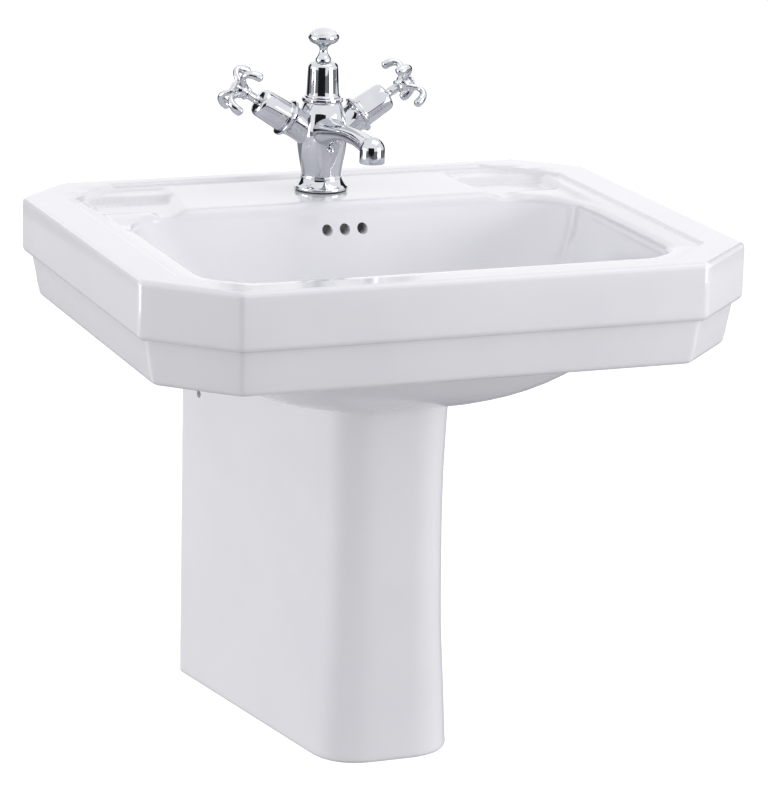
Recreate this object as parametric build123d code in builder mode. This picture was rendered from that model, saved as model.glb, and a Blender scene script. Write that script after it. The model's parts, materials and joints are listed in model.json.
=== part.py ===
"""Wall-hung washbasin on a half pedestal, with a monobloc tap, pop-up waste and bottle trap.

Millimetres. X runs to the right, the wall is the plane Y = 0 with the front at -Y, and Z is up.
The origin lies on the wall, midway between the two wall bolts of the basin.
"""

import os
from math import asin, atan2, cos, radians, sin, sqrt

from build123d import *

# Clearances
running_gap = 0.05
thread_gap = 0.05
loose_gap = 0.3
china_gap = 0.4
apron_gap = 3.0
edge_bevel = 1.0

# Basin: rim, apron and china thickness
rim_width = 610.0
rim_depth = 510.0
bolt_drop = 70.0
band_drop = 56.5
apron_drop = 101.5
front_cut = 74.0
back_cut = 53.0
step_in = 7.7
apron_taper = 7.4
outline_round = 10.0
rim_round = 5.0
band_foot_round = 6.0
apron_foot_round = 7.0
apron_wall = 12.0
back_wall = 14.0
deck_wall = 22.0
bowl_wall = 10.0

# Basin: deck
moulding_side = 40.0
moulding_front = 30.0
moulding_back = 16.0
moulding_drop = 3.0
moulding_slope = 4.0
platform_half = 147.0
platform_flare = 16.0
soap_drop = 5.0
soap_back = 68.0
soap_side = rim_width / 2 - 53.0
dish_drop = 1.5
dish_border = 12.0
soap_round = 12.0
tap_hole_radius = 17.5
tap_back = 84.0

# Basin: the bowl at each share of its depth, with its margins from the rim's side, wall and front, and its rounds
bowl_depth = 165.0
waste_back = 262.0
waste_flat = 38.0
bowl_margins = (
    (0.0, 69.0, 147.0, 61.0, 58.0, 50.0),
    (0.24, 80.0, 161.0, 73.0, 60.0, 56.0),
    (0.55, 103.0, 176.0, 94.0, 66.0, 66.0),
    (0.796, 139.0, 191.0, 124.0, 74.0, 74.0),
    (0.932, 193.0, 207.0, 164.0, 60.0, 60.0),
)
# Bowl stations, each as drop below the rim, half width, back, front, back round, front round
bowl_stations = [
    (
        moulding_drop + share * (bowl_depth - moulding_drop),
        rim_width / 2 - side,
        back,
        rim_depth - front,
        back_round,
        front_round,
    )
    for share, side, back, front, back_round, front_round in bowl_margins
]
bowl_stations += [
    (bowl_depth, waste_flat, waste_back - waste_flat, waste_back + waste_flat, waste_flat - 1, waste_flat - 1)
]
bowl_edge_round = 9.0
waste_hole_radius = 23.0
waste_boss_radius = 44.0
waste_boss_drop = bowl_depth + 22.0
waste_seat_radius = 33.5
waste_seat_drop = 3.0

# Basin: overflow
overflow_count = 3
overflow_pitch = 18.7
overflow_radius = 5.5
overflow_drop = 29.5
overflow_width = 66.0
overflow_channel = 12.0
overflow_wall = 7.0

# Wall fixings
bolt_spacing = 280.0
stud_radius = 5.0
stud_bolt_radius = 4.7
stud_neck_radius = 4.4
stud_neck = 1.5
stud_in_wall = 55.0
stud_proud = 46.0
bolt_hole_radius = 7.0
sleeve_flange_radius = 13.0
sleeve_flange = 3.0
washer_radius = 15.0
washer_thickness = 2.5
nut_flats = 17.0
nut_height = 8.0

# Half pedestal
pedestal_back_half = 117.5
pedestal_front_half = 68.5
pedestal_depth = 319.0
pedestal_wall = 9.0
pedestal_past_wall = 6.0
pedestal_drop = 536.5
pedestal_front_round = 30.0
pedestal_stations = ((apron_drop + apron_gap, 8.6), (215.0, 3.2), (300.0, 0.8), (400.0, 0.0), (470.0, 1.2), (536.5, 4.5))
pedestal_back_share = 0.4
pedestal_lip = 16.0
pedestal_lip_height = 9.0
pedestal_foot_round = 5.0
side_hole_back = 33.0
side_hole_drop = 228.0
side_hole_radius = 2.5
side_sink_radius = 3.9
side_sink = 4.4
bracket_gap = 0.9
bracket_thickness = 2.5
bracket_height = 44.0
bracket_wall_leg = 40.0
bracket_side_leg = 52.0
bracket_hole_radius = 3.25
wall_screw_radius = 3.0
wall_screw_shank = 2.6
side_screw_shank = 1.7
wall_screw_head = 6.0
wall_screw_head_height = 3.6
wall_screw_in_wall = 40.0
side_screw_radius = 2.0
side_screw_head = 3.5
side_screw_head_height = 2.6
side_screw_length = 16.0

# Waste
waste_flange_radius = 32.0
waste_flange = 2.5
seal_thickness = 1.5
waste_tube_radius = 20.9
waste_bore = 17.0
waste_tube_length = 52.0
waste_slot_width = 18.0
waste_slot_height = 14.0
under_seal = 5.0
under_seal_radius = 31.0
back_nut_flats = 56.0
back_nut_height = 8.0
tail_socket_wall = 3.2
tail_neck_radius = 19.0
tail_neck_height = 30.0
tail_pipe_radius = 16.0
tail_pipe_bore = 14.2
tail_pipe_length = 40.0

# Pop-up linkage
ball_out = 34.0
ball_radius = 6.5
ball_port_radius = 10.0
ball_port_bore = 7.6
ball_drop = 230.0
ball_rod_radius = 2.5
ball_rod_end = 4.0
lift_travel = 30.0
gland_nut_flats = 25.0
gland_nut_height = 12.0
gland_seat_length = 5.0
plug_radius = 30.0
plug_rim = 2.5
plug_crown = 4.0
plug_stem_radius = 4.5
plug_eye_radius = 4.2
plug_eye_wall = 2.8
plug_ring_radius = 1.8
plug_ring_squeeze = 0.4
plug_fin = 2.4
clamp_size = 13.0
clamp_height = 22.0
clamp_play = 1.1
clamp_web = 2.5
clamp_screw_radius = 2.0
clamp_screw_head = 3.4
clamp_screw_head_height = 2.6

# Bottle trap
trap_nut_flats = 45.0
trap_nut_height = 16.0
trap_nut_grip = 9.0
trap_neck = 8.0
trap_dip_gap = 20.0
trap_inlet_radius = 19.5
trap_head_radius = 31.0
trap_head_height = 58.0
trap_outlet_down = 22.0
trap_wall = 3.0
trap_cup_radius = 33.0
trap_cup_depth = 66.0
trap_cup_collar = 14.0
trap_outlet_length = 48.0
trap_pipe_radius = 16.0
trap_pipe_bore = 14.2
trap_pipe_in_wall = 45.0
trap_groove = 2.0
trap_groove_depth = 0.8
trap_flange_radius = 32.0
trap_flange_depth = 9.0
trap_seal = 3.0

# Tap: body of revolution, each as height above its seat and radius
tap_foot_radius = 27.0
tap_foot_height = 3.0
tap_neck_radius = 20.4
tap_neck_height = 12.5
tap_barrel_radius = 24.5
tap_barrel_height = 45.0
tap_hub_height = 88.0
tap_hub_top_radius = 19.0
tap_ring_radius = 20.7
tap_ring_height = 92.0
tap_ring_top = 94.0
tap_arm_rise = 50.0
tap_arm_angle = 32.0
tap_arm_radius = 15.2
tap_arm_ring_at = 46.0
tap_arm_ring_radius = 19.5
tap_arm_ring = 3.0
bonnet_radius = 16.0
bonnet_end_radius = 14.6
bonnet_length = 34.0
bonnet_wall = 2.2
bonnet_round = 5.0
cartridge_radius = 10.5
cartridge_length = 38.0
cartridge_in_body = 16.0
spindle_radius = 4.7
handle_at = 103.0
handle_hub_radius = 8.6
handle_hub_length = 17.0
claw_count = 4
claw_turn = 45.0
claw_radius = 2.7
claw_path = ((5.0, 2.5), (15.0, 8.5), (23.5, 6.0), (27.0, -3.5))
claw_tip_radius = 3.9
index_radius = 6.5
index_height = 2.4
spout_outlet_back = 226.0
spout_outlet_radius = 12.4
spout_outlet_bore = 9.6
spout_outlet_height = 53.0
spout_elbow_height = 66.5
spout_stations = ((94.0, 61.0, 16.0), (116.0, 63.0, 12.5), (148.0, 65.5, 8.8), (184.0, 67.5, 8.2), (218.0, 66.5, 9.0))
finial_radius = 3.2
tower_radius = 18.0
tower_top_radius = 15.0
tower_height = 36.0
tower_round = 6.0
tower_bore = 3.4
tower_spigot_radius = 10.0
tower_spigot = 6.0
guide_radius = 6.0
guide_length = 12.0
knob_base_radius = 8.0
knob_neck_radius = 4.0
knob_neck_height = 10.0
knob_cup_radius = 15.5
knob_cup_height = 28.0
knob_cap_radius = 13.2
knob_cap_rise = 6.0
knob_cap_seat = 3.0
lift_rod_radius = 2.5
straightener_length = 9.0

# Tap fixings and tails
gasket_radius = 25.5
shank_radius = 16.5
shank_bore = 13.6
shank_in_body = 12.0
shank_below_deck = 30.0
fixing_washer_radius = 25.0
fixing_rubber = 3.0
fixing_plate = 2.0
fixing_nut_flats = 42.0
fixing_nut_height = 9.0
tail_radius = 5.0
tail_bore = 4.1
tail_offset = 8.4
tail_spread = 24.0
tail_bend_top = 62.0
tail_bend_low = 112.0
tail_bend_radius = 40.0
tail_end_drop = 292.0
tail_in_body = 10.0

# Levels and places that follow
rim_z = bolt_drop
deck_z = rim_z - moulding_drop
deck_under_z = rim_z - deck_wall
apron_z = rim_z - apron_drop
bowl_floor_z = rim_z - bowl_depth
boss_z = rim_z - waste_boss_drop
seat_z = deck_z + seal_thickness
tap_place = (0, -tap_back)
waste_place = (0, -waste_back)
diagonal_gain = sqrt(2) - 1


def rim_corners(side, front, back=0.0):
    """Corner points of the eight-sided rim, drawn in by these amounts at the sides, front and back."""
    half = rim_width / 2 - side
    near = rim_depth - front
    front_leg = front_cut - (side + front) * (1 - 1 / sqrt(2))
    back_leg = back_cut + diagonal_gain * side - back * (1 - 1 / sqrt(2))
    right = [
        (half - back_leg, -back),
        (half, -back - back_leg),
        (half, -near + front_leg),
        (half - front_leg, -near),
    ]
    return right + [(-x, y) for x, y in reversed(right)]


def rim_face(side, front, back=0.0, corner=outline_round):
    """The rim outline as a face in the sketch that is open, with softened corners away from the wall."""
    Polygon(*rim_corners(side, front, back), align=None)
    softened = [v for v in vertices() if back > 0 or v.Y < -1]
    fillet(softened, corner)


def bowl_face(half, back, front, back_round, front_round):
    """A rounded rectangle of the bowl in the sketch that is open."""
    with Locations((0, -(back + front) / 2)):
        Rectangle(2 * half, front - back)
    fillet(vertices().group_by(Axis.Y)[-1], back_round)
    fillet(vertices().group_by(Axis.Y)[0][:2], front_round)


def bowl_solid(grow):
    """The bowl's hollow as a solid, grown outwards and downwards by a thickness."""
    with BuildPart() as hollow:
        for drop, half, back, front, back_round, front_round in bowl_stations:
            with BuildSketch(Plane.XY.offset(rim_z - drop - grow)):
                bowl_face(half + grow, back - grow, front + grow, back_round + grow, front_round + grow)
        loft()
    return hollow.part


def turned(outline, axis_plane):
    """A turned solid: outline points (radius, height) spun about the plane's own normal."""
    side = Plane(axis_plane.origin, x_dir=axis_plane.x_dir, z_dir=-axis_plane.y_dir)
    with BuildPart() as piece:
        with BuildSketch(side):
            with BuildLine():
                Polyline(*outline, close=True)
            make_face()
        revolve(axis=Axis(axis_plane.origin, axis_plane.z_dir))
    return piece.part


def upright(place, z):
    """A level plane at a place on the plan and at a height."""
    return Plane(origin=(place[0], place[1], z), x_dir=(1, 0, 0), z_dir=(0, 0, 1))


# Basin: the apron in two bands, hollow below, with the bowl hung in it
with BuildPart() as basin:
    with BuildSketch(Plane.XY.offset(rim_z)):
        rim_face(0, 0)
    extrude(amount=-band_drop)
    band_foot = basin.faces().sort_by(Axis.Z)[0].edges().filter_by(lambda e: e.center().Y < -1)
    fillet(band_foot, band_foot_round)
    rim_top = basin.faces().sort_by(Axis.Z)[-1].edges()
    fillet(rim_top, rim_round)
    with BuildSketch(Plane.XY.offset(rim_z - band_drop + band_foot_round)):
        rim_face(step_in, step_in)
    with BuildSketch(Plane.XY.offset(apron_z)):
        rim_face(step_in + apron_taper, step_in + apron_taper)
    loft(ruled=True)
    apron_foot = basin.faces().sort_by(Axis.Z)[0].edges().filter_by(lambda e: e.center().Y < -1)
    fillet(apron_foot, apron_foot_round)
    apron_inset = step_in + apron_taper + apron_wall
    with BuildSketch(Plane.XY.offset(apron_z)):
        rim_face(apron_inset, apron_inset, back_wall, outline_round)
    extrude(amount=deck_under_z - apron_z, mode=Mode.SUBTRACT)
    add(bowl_solid(bowl_wall))
    with BuildSketch(Plane.XY.offset(boss_z)):
        with Locations(waste_place):
            Circle(waste_boss_radius)
    extrude(amount=bowl_floor_z - boss_z)
    # Overflow duct on the bowl's rear wall, from under the deck to the waste
    duct_half = overflow_width / 2 + overflow_wall
    channel_face = [
        (-bowl_stations[0][2] + overflow_wall, deck_under_z),
        (-bowl_stations[2][2] + overflow_wall, rim_z - bowl_stations[2][0]),
        (-bowl_stations[3][2] + overflow_wall, rim_z - bowl_stations[3][0]),
        (-bowl_stations[4][2] + overflow_wall, bowl_floor_z - overflow_wall),
        (-waste_back, bowl_floor_z - overflow_wall),
    ]
    channel_back = [
        (-waste_back, boss_z + overflow_wall),
        (-bowl_stations[4][2] + overflow_wall + overflow_channel, boss_z + overflow_wall),
        (-bowl_stations[3][2] + overflow_wall + overflow_channel, rim_z - bowl_stations[4][0]),
        (-bowl_stations[2][2] + overflow_wall + overflow_channel, rim_z - bowl_stations[2][0]),
        (-bowl_stations[0][2] + overflow_wall + overflow_channel, deck_under_z),
    ]
    duct_back = [
        (-waste_back, boss_z),
        (-bowl_stations[4][2] + 2 * overflow_wall + overflow_channel, boss_z),
        (-bowl_stations[3][2] + 2 * overflow_wall + overflow_channel, rim_z - bowl_stations[4][0]),
        (-bowl_stations[2][2] + 2 * overflow_wall + overflow_channel, rim_z - bowl_stations[2][0]),
        (-bowl_stations[0][2] + 2 * overflow_wall + overflow_channel, deck_under_z),
    ]
    with BuildSketch(Plane.YZ):
        with BuildLine():
            Polyline(*channel_face, *duct_back, close=True)
        make_face()
    extrude(amount=duct_half, both=True)
    with BuildSketch(Plane.YZ):
        with BuildLine():
            Polyline(*channel_face, *channel_back, close=True)
        make_face()
    extrude(amount=overflow_width / 2, both=True, mode=Mode.SUBTRACT)
    add(bowl_solid(0), mode=Mode.SUBTRACT)
    # Deck: the level inside the moulding
    with BuildSketch(Plane.XY.offset(rim_z)):
        rim_face(moulding_side, moulding_front, moulding_back)
    with BuildSketch(Plane.XY.offset(deck_z)):
        inner = moulding_slope
        rim_face(moulding_side + inner, moulding_front + inner, moulding_back + inner, outline_round - inner / 2)
    loft(ruled=True, mode=Mode.SUBTRACT)
    # Soap shelves beside the tap platform, each draining over its front edge into the bowl
    shelf_front = bowl_stations[0][2] + bowl_stations[0][4]
    for side in (1, -1):
        with BuildSketch(Plane.XY.offset(deck_z)):
            Polygon(
                (side * platform_half, -soap_back),
                (side * soap_side, -soap_back),
                (side * soap_side, -shelf_front),
                (side * platform_half, -shelf_front),
                align=None,
            )
        with BuildSketch(Plane.XY.offset(deck_z - soap_drop)):
            Polygon(
                (side * (platform_half + platform_flare / 2), -soap_back - soap_drop),
                (side * (soap_side - soap_drop), -soap_back - soap_drop),
                (side * (soap_side - soap_drop), -shelf_front + soap_drop),
                (side * (platform_half + platform_flare), -shelf_front + soap_drop),
                align=None,
            )
        loft(ruled=True, mode=Mode.SUBTRACT)
    bowl_edges = [
        e
        for e in basin.edges().filter_by_position(Axis.Z, rim_z - 12, rim_z - 2)
        if abs(e.center().X) < bowl_stations[0][1] + 3
        and -bowl_stations[0][3] - 1 < e.center().Y < -bowl_stations[0][2] + 1
    ]
    fillet(bowl_edges, bowl_edge_round)
    # Shallow dishes in the soap shelves
    dish_side = platform_half + platform_flare + dish_border / 2
    dish_far = soap_side - soap_drop - dish_border / 2
    for side in (1, -1):
        with BuildSketch(Plane.XY.offset(deck_z - soap_drop)):
            with Locations((side * (dish_side + dish_far) / 2, -(soap_back + 2 * dish_border + bowl_stations[0][2]) / 2)):
                RectangleRounded(dish_far - dish_side, bowl_stations[0][2] - soap_back - 2 * dish_border, soap_round)
        extrude(amount=-dish_drop, mode=Mode.SUBTRACT)
    # Holes: tap, waste and its seat, overflow row, wall bolts
    with Locations(upright(tap_place, deck_z)):
        Hole(tap_hole_radius, depth=deck_wall)
    with Locations(upright(waste_place, bowl_floor_z)):
        CounterBoreHole(waste_hole_radius, waste_seat_radius, waste_seat_drop, depth=waste_boss_drop - bowl_depth + 1)
    with BuildSketch(Plane.XZ.offset(bowl_stations[0][2] - overflow_wall)):
        with Locations((0, rim_z - overflow_drop)):
            with GridLocations(overflow_pitch, 1, overflow_count, 1):
                Circle(overflow_radius)
    extrude(amount=bowl_stations[2][2] - bowl_stations[0][2], mode=Mode.SUBTRACT)
    with BuildSketch(Plane.XZ):
        with GridLocations(bolt_spacing, 1, 2, 1):
            Circle(bolt_hole_radius)
    extrude(amount=back_wall, mode=Mode.SUBTRACT)


def pedestal_face(swell, inset):
    """The half pedestal's plan at one height, carried on past the wall plane, in the sketch that is open."""
    back_half = pedestal_back_half + pedestal_back_share * swell - inset
    front_half = pedestal_front_half + swell - inset
    front = pedestal_depth + swell - inset
    back_half += (back_half - front_half) / front * pedestal_past_wall
    Polygon(
        (-back_half, pedestal_past_wall),
        (back_half, pedestal_past_wall),
        (front_half, -front),
        (-front_half, -front),
        align=None,
    )
    fillet(vertices().group_by(Axis.Y)[0], pedestal_front_round - inset)


def shroud(inset, lift):
    """The pedestal's outer form, drawn in by a wall and raised at its foot."""
    with BuildPart() as form:
        for drop, swell in pedestal_stations:
            raised = lift if drop == pedestal_drop else 0
            with BuildSketch(Plane.XY.offset(rim_z - drop + raised)):
                pedestal_face(swell, inset)
        loft()
    return form.part


def pedestal_half_at(drop, inset):
    """Half widths and depth of the pedestal at a height, between its stations."""
    for (high, swell_high), (low, swell_low) in zip(pedestal_stations, pedestal_stations[1:]):
        if high <= drop <= low:
            swell = swell_high + (swell_low - swell_high) * (drop - high) / (low - high)
            return (
                pedestal_back_half + pedestal_back_share * swell - inset,
                pedestal_front_half + swell - inset,
                pedestal_depth + swell - inset,
            )


# The side wall's slope in plan at the side screws, and the planes square to it
inner_back, inner_front, inner_depth = pedestal_half_at(side_hole_drop, pedestal_wall)
outer_back, outer_front, outer_depth = pedestal_half_at(side_hole_drop, 0)
side_slope = atan2(outer_back - outer_front, outer_depth)
side_hole_z = rim_z - side_hole_drop


def side_plane(side, across):
    """Plane on a side wall at the screw, facing outwards, moved in by an amount."""
    x = outer_back - side_hole_back * (outer_back - outer_front) / outer_depth
    outward = (side * cos(side_slope), -sin(side_slope), 0)
    origin = (side * x - outward[0] * across, -side_hole_back - outward[1] * across, side_hole_z)
    return Plane(origin=origin, x_dir=(0, 0, 1), z_dir=outward)


# Half pedestal: a tapering shroud, open behind and above, waisted a little, with its foot turned in
with BuildPart() as semi_pedestal:
    add(shroud(0, 0))
    with BuildSketch(Plane.XZ):
        with Locations((0, rim_z - pedestal_drop / 2)):
            Rectangle(rim_width, pedestal_drop)
    extrude(amount=-2 * pedestal_past_wall, mode=Mode.SUBTRACT)
    foot = semi_pedestal.faces().sort_by(Axis.Z)[0].edges().filter_by(lambda e: e.center().Y < -1)
    fillet(foot, pedestal_foot_round)
    with BuildSketch(Plane.XY.offset(rim_z - pedestal_drop)):
        pedestal_face(pedestal_stations[-1][1], pedestal_lip)
    extrude(amount=pedestal_lip_height, mode=Mode.SUBTRACT)
    add(shroud(pedestal_wall, pedestal_lip_height), mode=Mode.SUBTRACT)
    add(bowl_solid(bowl_wall + china_gap), mode=Mode.SUBTRACT)
    for side in (1, -1):
        with Locations(side_plane(side, 0)):
            CounterBoreHole(side_hole_radius, side_sink_radius, side_sink, depth=2 * pedestal_wall)

# Brackets: an angle plate inside each side wall, screwed to the wall
bracket_corner = inner_back - bracket_gap
wall_hole_x = bracket_corner - bracket_wall_leg * 0.6
with BuildPart() as pedestal_brackets:
    along = (-sin(side_slope), -cos(side_slope))
    inward = (-cos(side_slope), sin(side_slope))
    turn_in = bracket_thickness * (1 + sin(side_slope)) / cos(side_slope)
    tip = (bracket_corner + along[0] * bracket_side_leg, along[1] * bracket_side_leg)
    inner_turn = (
        bracket_corner + inward[0] * bracket_thickness + along[0] * turn_in,
        inward[1] * bracket_thickness + along[1] * turn_in,
    )
    with BuildSketch(Plane.XY.offset(side_hole_z - bracket_height / 2)):
        Polygon(
            (bracket_corner, 0),
            tip,
            (tip[0] + inward[0] * bracket_thickness, tip[1] + inward[1] * bracket_thickness),
            inner_turn,
            (bracket_corner - bracket_wall_leg, -bracket_thickness),
            (bracket_corner - bracket_wall_leg, 0),
            align=None,
        )
    extrude(amount=bracket_height)
    with Locations(Plane(origin=(wall_hole_x, -bracket_thickness, side_hole_z), z_dir=(0, -1, 0))):
        Hole(bracket_hole_radius, depth=2 * bracket_thickness)
    with Locations(side_plane(1, pedestal_wall)):
        Hole(side_screw_radius + thread_gap, depth=3 * bracket_thickness)
    mirror(about=Plane.YZ)


def screw_outline(radius, head, head_height, length, shank, shank_length):
    """Half section of a round-headed screw: head seated at height 0, a thinner shank under it, then the thread."""
    return [
        (0, -length),
        (radius, -length),
        (radius, -shank_length),
        (shank, -shank_length),
        (shank, 0),
        (head, 0),
        (head, head_height * 0.5),
        (head * 0.7, head_height),
        (0, head_height),
    ]


def group(name, solids):
    """Several alike solids kept as one named piece."""
    piece = Compound(children=list(solids))
    piece.label = name
    return piece


def nut(flats, height, bore, place_plane):
    """A six-sided nut with its underside on the plane and its corners turned off."""
    with BuildPart() as piece:
        with BuildSketch(place_plane):
            RegularPolygon(flats / 2, 6, major_radius=False)
            Circle(bore, mode=Mode.SUBTRACT)
        extrude(amount=height)
        with BuildSketch(place_plane):
            Circle(flats / 2 * 1.08)
        extrude(amount=height, mode=Mode.INTERSECT)
    return piece.part


def washer(outer, bore, thickness, place_plane):
    """A flat ring standing on the plane."""
    with BuildPart() as piece:
        with BuildSketch(place_plane):
            Circle(outer)
            Circle(bore, mode=Mode.SUBTRACT)
        extrude(amount=thickness)
    return piece.part


# Pedestal screws: two into the wall, two through the side walls into the brackets
wall_screw_planes = [
    Plane(origin=(side * wall_hole_x, -bracket_thickness, side_hole_z), z_dir=(0, -1, 0)) for side in (1, -1)
]
bracket_wall_screws = group(
    "bracket_wall_screws",
    [
        turned(
            screw_outline(
                wall_screw_radius,
                wall_screw_head,
                wall_screw_head_height,
                wall_screw_in_wall + bracket_thickness,
                wall_screw_shank,
                bracket_thickness,
            ),
            plane,
        )
        for plane in wall_screw_planes
    ],
)
pedestal_side_screws = group(
    "pedestal_side_screws",
    [
        turned(
            screw_outline(
                side_screw_radius,
                side_screw_head,
                side_screw_head_height,
                side_screw_length,
                side_screw_shank,
                pedestal_wall / 2,
            ),
            side_plane(side, side_sink),
        )
        for side in (1, -1)
    ],
)

# Wall fixings of the basin: hanger studs, nylon sleeves, washers and nuts
stud_planes = [Plane(origin=(side * bolt_spacing / 2, 0, 0), z_dir=(0, -1, 0)) for side in (1, -1)]
wall_studs = group(
    "wall_studs",
    [
        turned(
            [
                (0, -stud_in_wall),
                (stud_radius * 0.4, -stud_in_wall),
                (stud_radius, -stud_in_wall + 2 * stud_radius),
                (stud_radius, 0),
                (stud_neck_radius, 0),
                (stud_neck_radius, stud_neck),
                (stud_bolt_radius, stud_neck),
                (stud_bolt_radius, stud_proud - edge_bevel),
                (stud_bolt_radius - edge_bevel, stud_proud),
                (0, stud_proud),
            ],
            plane,
        )
        for plane in stud_planes
    ],
)
sleeve_outline = [
    (stud_bolt_radius + thread_gap, 1),
    (bolt_hole_radius - loose_gap, 1),
    (bolt_hole_radius - loose_gap, back_wall),
    (sleeve_flange_radius, back_wall),
    (sleeve_flange_radius, back_wall + sleeve_flange),
    (stud_bolt_radius + thread_gap, back_wall + sleeve_flange),
]
stud_sleeves = group("stud_sleeves", [turned(sleeve_outline, plane) for plane in stud_planes])
stack = back_wall + sleeve_flange
stud_washers = group(
    "stud_washers",
    [
        washer(washer_radius, stud_bolt_radius + thread_gap, washer_thickness, plane.offset(stack))
        for plane in stud_planes
    ],
)
stud_nuts = group(
    "stud_nuts",
    [
        nut(nut_flats, nut_height, stud_bolt_radius + thread_gap, plane.offset(stack + washer_thickness))
        for plane in stud_planes
    ],
)

# Waste: flanged slotted tube clamped through the bowl by a nut below
waste_seat_z = bowl_floor_z - waste_seat_drop
flange_under_z = waste_seat_z + seal_thickness
flange_top_z = flange_under_z + waste_flange
waste_tube_end_z = waste_seat_z - waste_tube_length
slot_top_z = bowl_floor_z - overflow_wall
with BuildPart() as waste_body:
    add(
        turned(
            [
                (waste_bore, waste_tube_end_z),
                (waste_tube_radius, waste_tube_end_z),
                (waste_tube_radius, flange_under_z),
                (waste_flange_radius, flange_under_z),
                (waste_flange_radius, flange_under_z + waste_flange * 0.4),
                (waste_flange_radius - 3, flange_top_z),
                (waste_bore + 6, flange_top_z),
                (waste_bore, flange_top_z - 6),
            ],
            upright(waste_place, 0),
        )
    )
    with BuildSketch(Plane.XZ.offset(waste_back)):
        with Locations((0, slot_top_z - waste_slot_height / 2)):
            RectangleRounded(waste_slot_width, waste_slot_height, 2)
    extrude(amount=waste_flange_radius, both=True, mode=Mode.SUBTRACT)
waste_flange_seal = washer(
    waste_flange_radius - 1, waste_tube_radius + thread_gap, seal_thickness, upright(waste_place, waste_seat_z)
)
under_seal_z = boss_z - under_seal
waste_under_seal = turned(
    [
        (waste_tube_radius + thread_gap, under_seal_z),
        (under_seal_radius - 2, under_seal_z),
        (under_seal_radius, under_seal_z + 2),
        (under_seal_radius, boss_z),
        (waste_tube_radius + thread_gap, boss_z),
    ],
    upright(waste_place, 0),
)
back_nut_z = under_seal_z - back_nut_height
waste_back_nut = nut(
    back_nut_flats, back_nut_height, waste_tube_radius + thread_gap, upright(waste_place, back_nut_z)
)

# Tailpiece: screwed on the waste tube, with a side port for the pop-up rod
socket_top_z = back_nut_z - 2
socket_foot_z = waste_tube_end_z - loose_gap
neck_foot_z = socket_foot_z - tail_neck_height
tail_end_z = neck_foot_z - tail_pipe_length
ball_z = rim_z - ball_drop
ball_place = (0, -waste_back + ball_out, ball_z)
port_plane = Plane(origin=(0, -waste_back, ball_z), x_dir=(1, 0, 0), z_dir=(0, 1, 0))
port_end = ball_out + ball_radius * 0.4
with BuildPart() as waste_tailpiece:
    add(
        turned(
            [
                (0, tail_end_z),
                (tail_pipe_radius, tail_end_z),
                (tail_pipe_radius, neck_foot_z),
                (tail_neck_radius, neck_foot_z + 3),
                (tail_neck_radius, socket_foot_z - 3),
                (waste_tube_radius + tail_socket_wall, socket_foot_z),
                (waste_tube_radius + tail_socket_wall, socket_top_z),
                (0, socket_top_z),
            ],
            upright(waste_place, 0),
        )
    )
    with BuildSketch(port_plane):
        Circle(ball_port_radius)
    extrude(amount=port_end)
    add(
        turned(
            [
                (0, tail_end_z),
                (tail_pipe_bore, tail_end_z),
                (tail_pipe_bore, neck_foot_z),
                (waste_bore, neck_foot_z + 3),
                (waste_bore, socket_foot_z),
                (waste_tube_radius + thread_gap, socket_foot_z),
                (waste_tube_radius + thread_gap, socket_top_z),
                (0, socket_top_z),
            ],
            upright(waste_place, 0),
        ),
        mode=Mode.SUBTRACT,
    )
    with BuildSketch(port_plane):
        Circle(ball_port_bore)
    extrude(amount=port_end, mode=Mode.SUBTRACT)

# Ball rod: level at mid travel, tilted down at its tail while the plug is open
lever_out = waste_back - ball_out - tap_back
half_tilt = asin(lift_travel / 2 / lever_out)
rod_plane = Plane(origin=ball_place, x_dir=(1, 0, 0), z_dir=(0, cos(half_tilt), -sin(half_tilt)))
with BuildPart() as ball_rod:
    with Locations(ball_place):
        Sphere(ball_radius)
    with BuildSketch(rod_plane.offset(-ball_out - ball_rod_end)):
        Circle(ball_rod_radius)
    extrude(amount=ball_out + ball_rod_end + lever_out + clamp_size)

# Seat ring and gland nut that hold the ball in the port
seat_from = ball_out - ball_radius * 0.6
with BuildPart() as ball_seat:
    add(
        turned(
            [
                (ball_radius - 1.6, seat_from),
                (ball_port_bore - thread_gap, seat_from),
                (ball_port_bore - thread_gap, port_end + gland_seat_length),
                (ball_rod_radius + 1.8, port_end + gland_seat_length),
                (ball_rod_radius + 1.8, seat_from + ball_radius),
            ],
            port_plane,
        )
    )
    with Locations(ball_place):
        Sphere(ball_radius + running_gap, mode=Mode.SUBTRACT)
with BuildPart() as gland_nut:
    add(nut(gland_nut_flats, gland_nut_height, ball_rod_radius + 2.2, port_plane.offset(port_end - 4)))
    with BuildSketch(port_plane.offset(port_end - 4)):
        Circle(ball_port_radius + thread_gap)
    extrude(amount=4 + gland_seat_length + loose_gap, mode=Mode.SUBTRACT)

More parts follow.
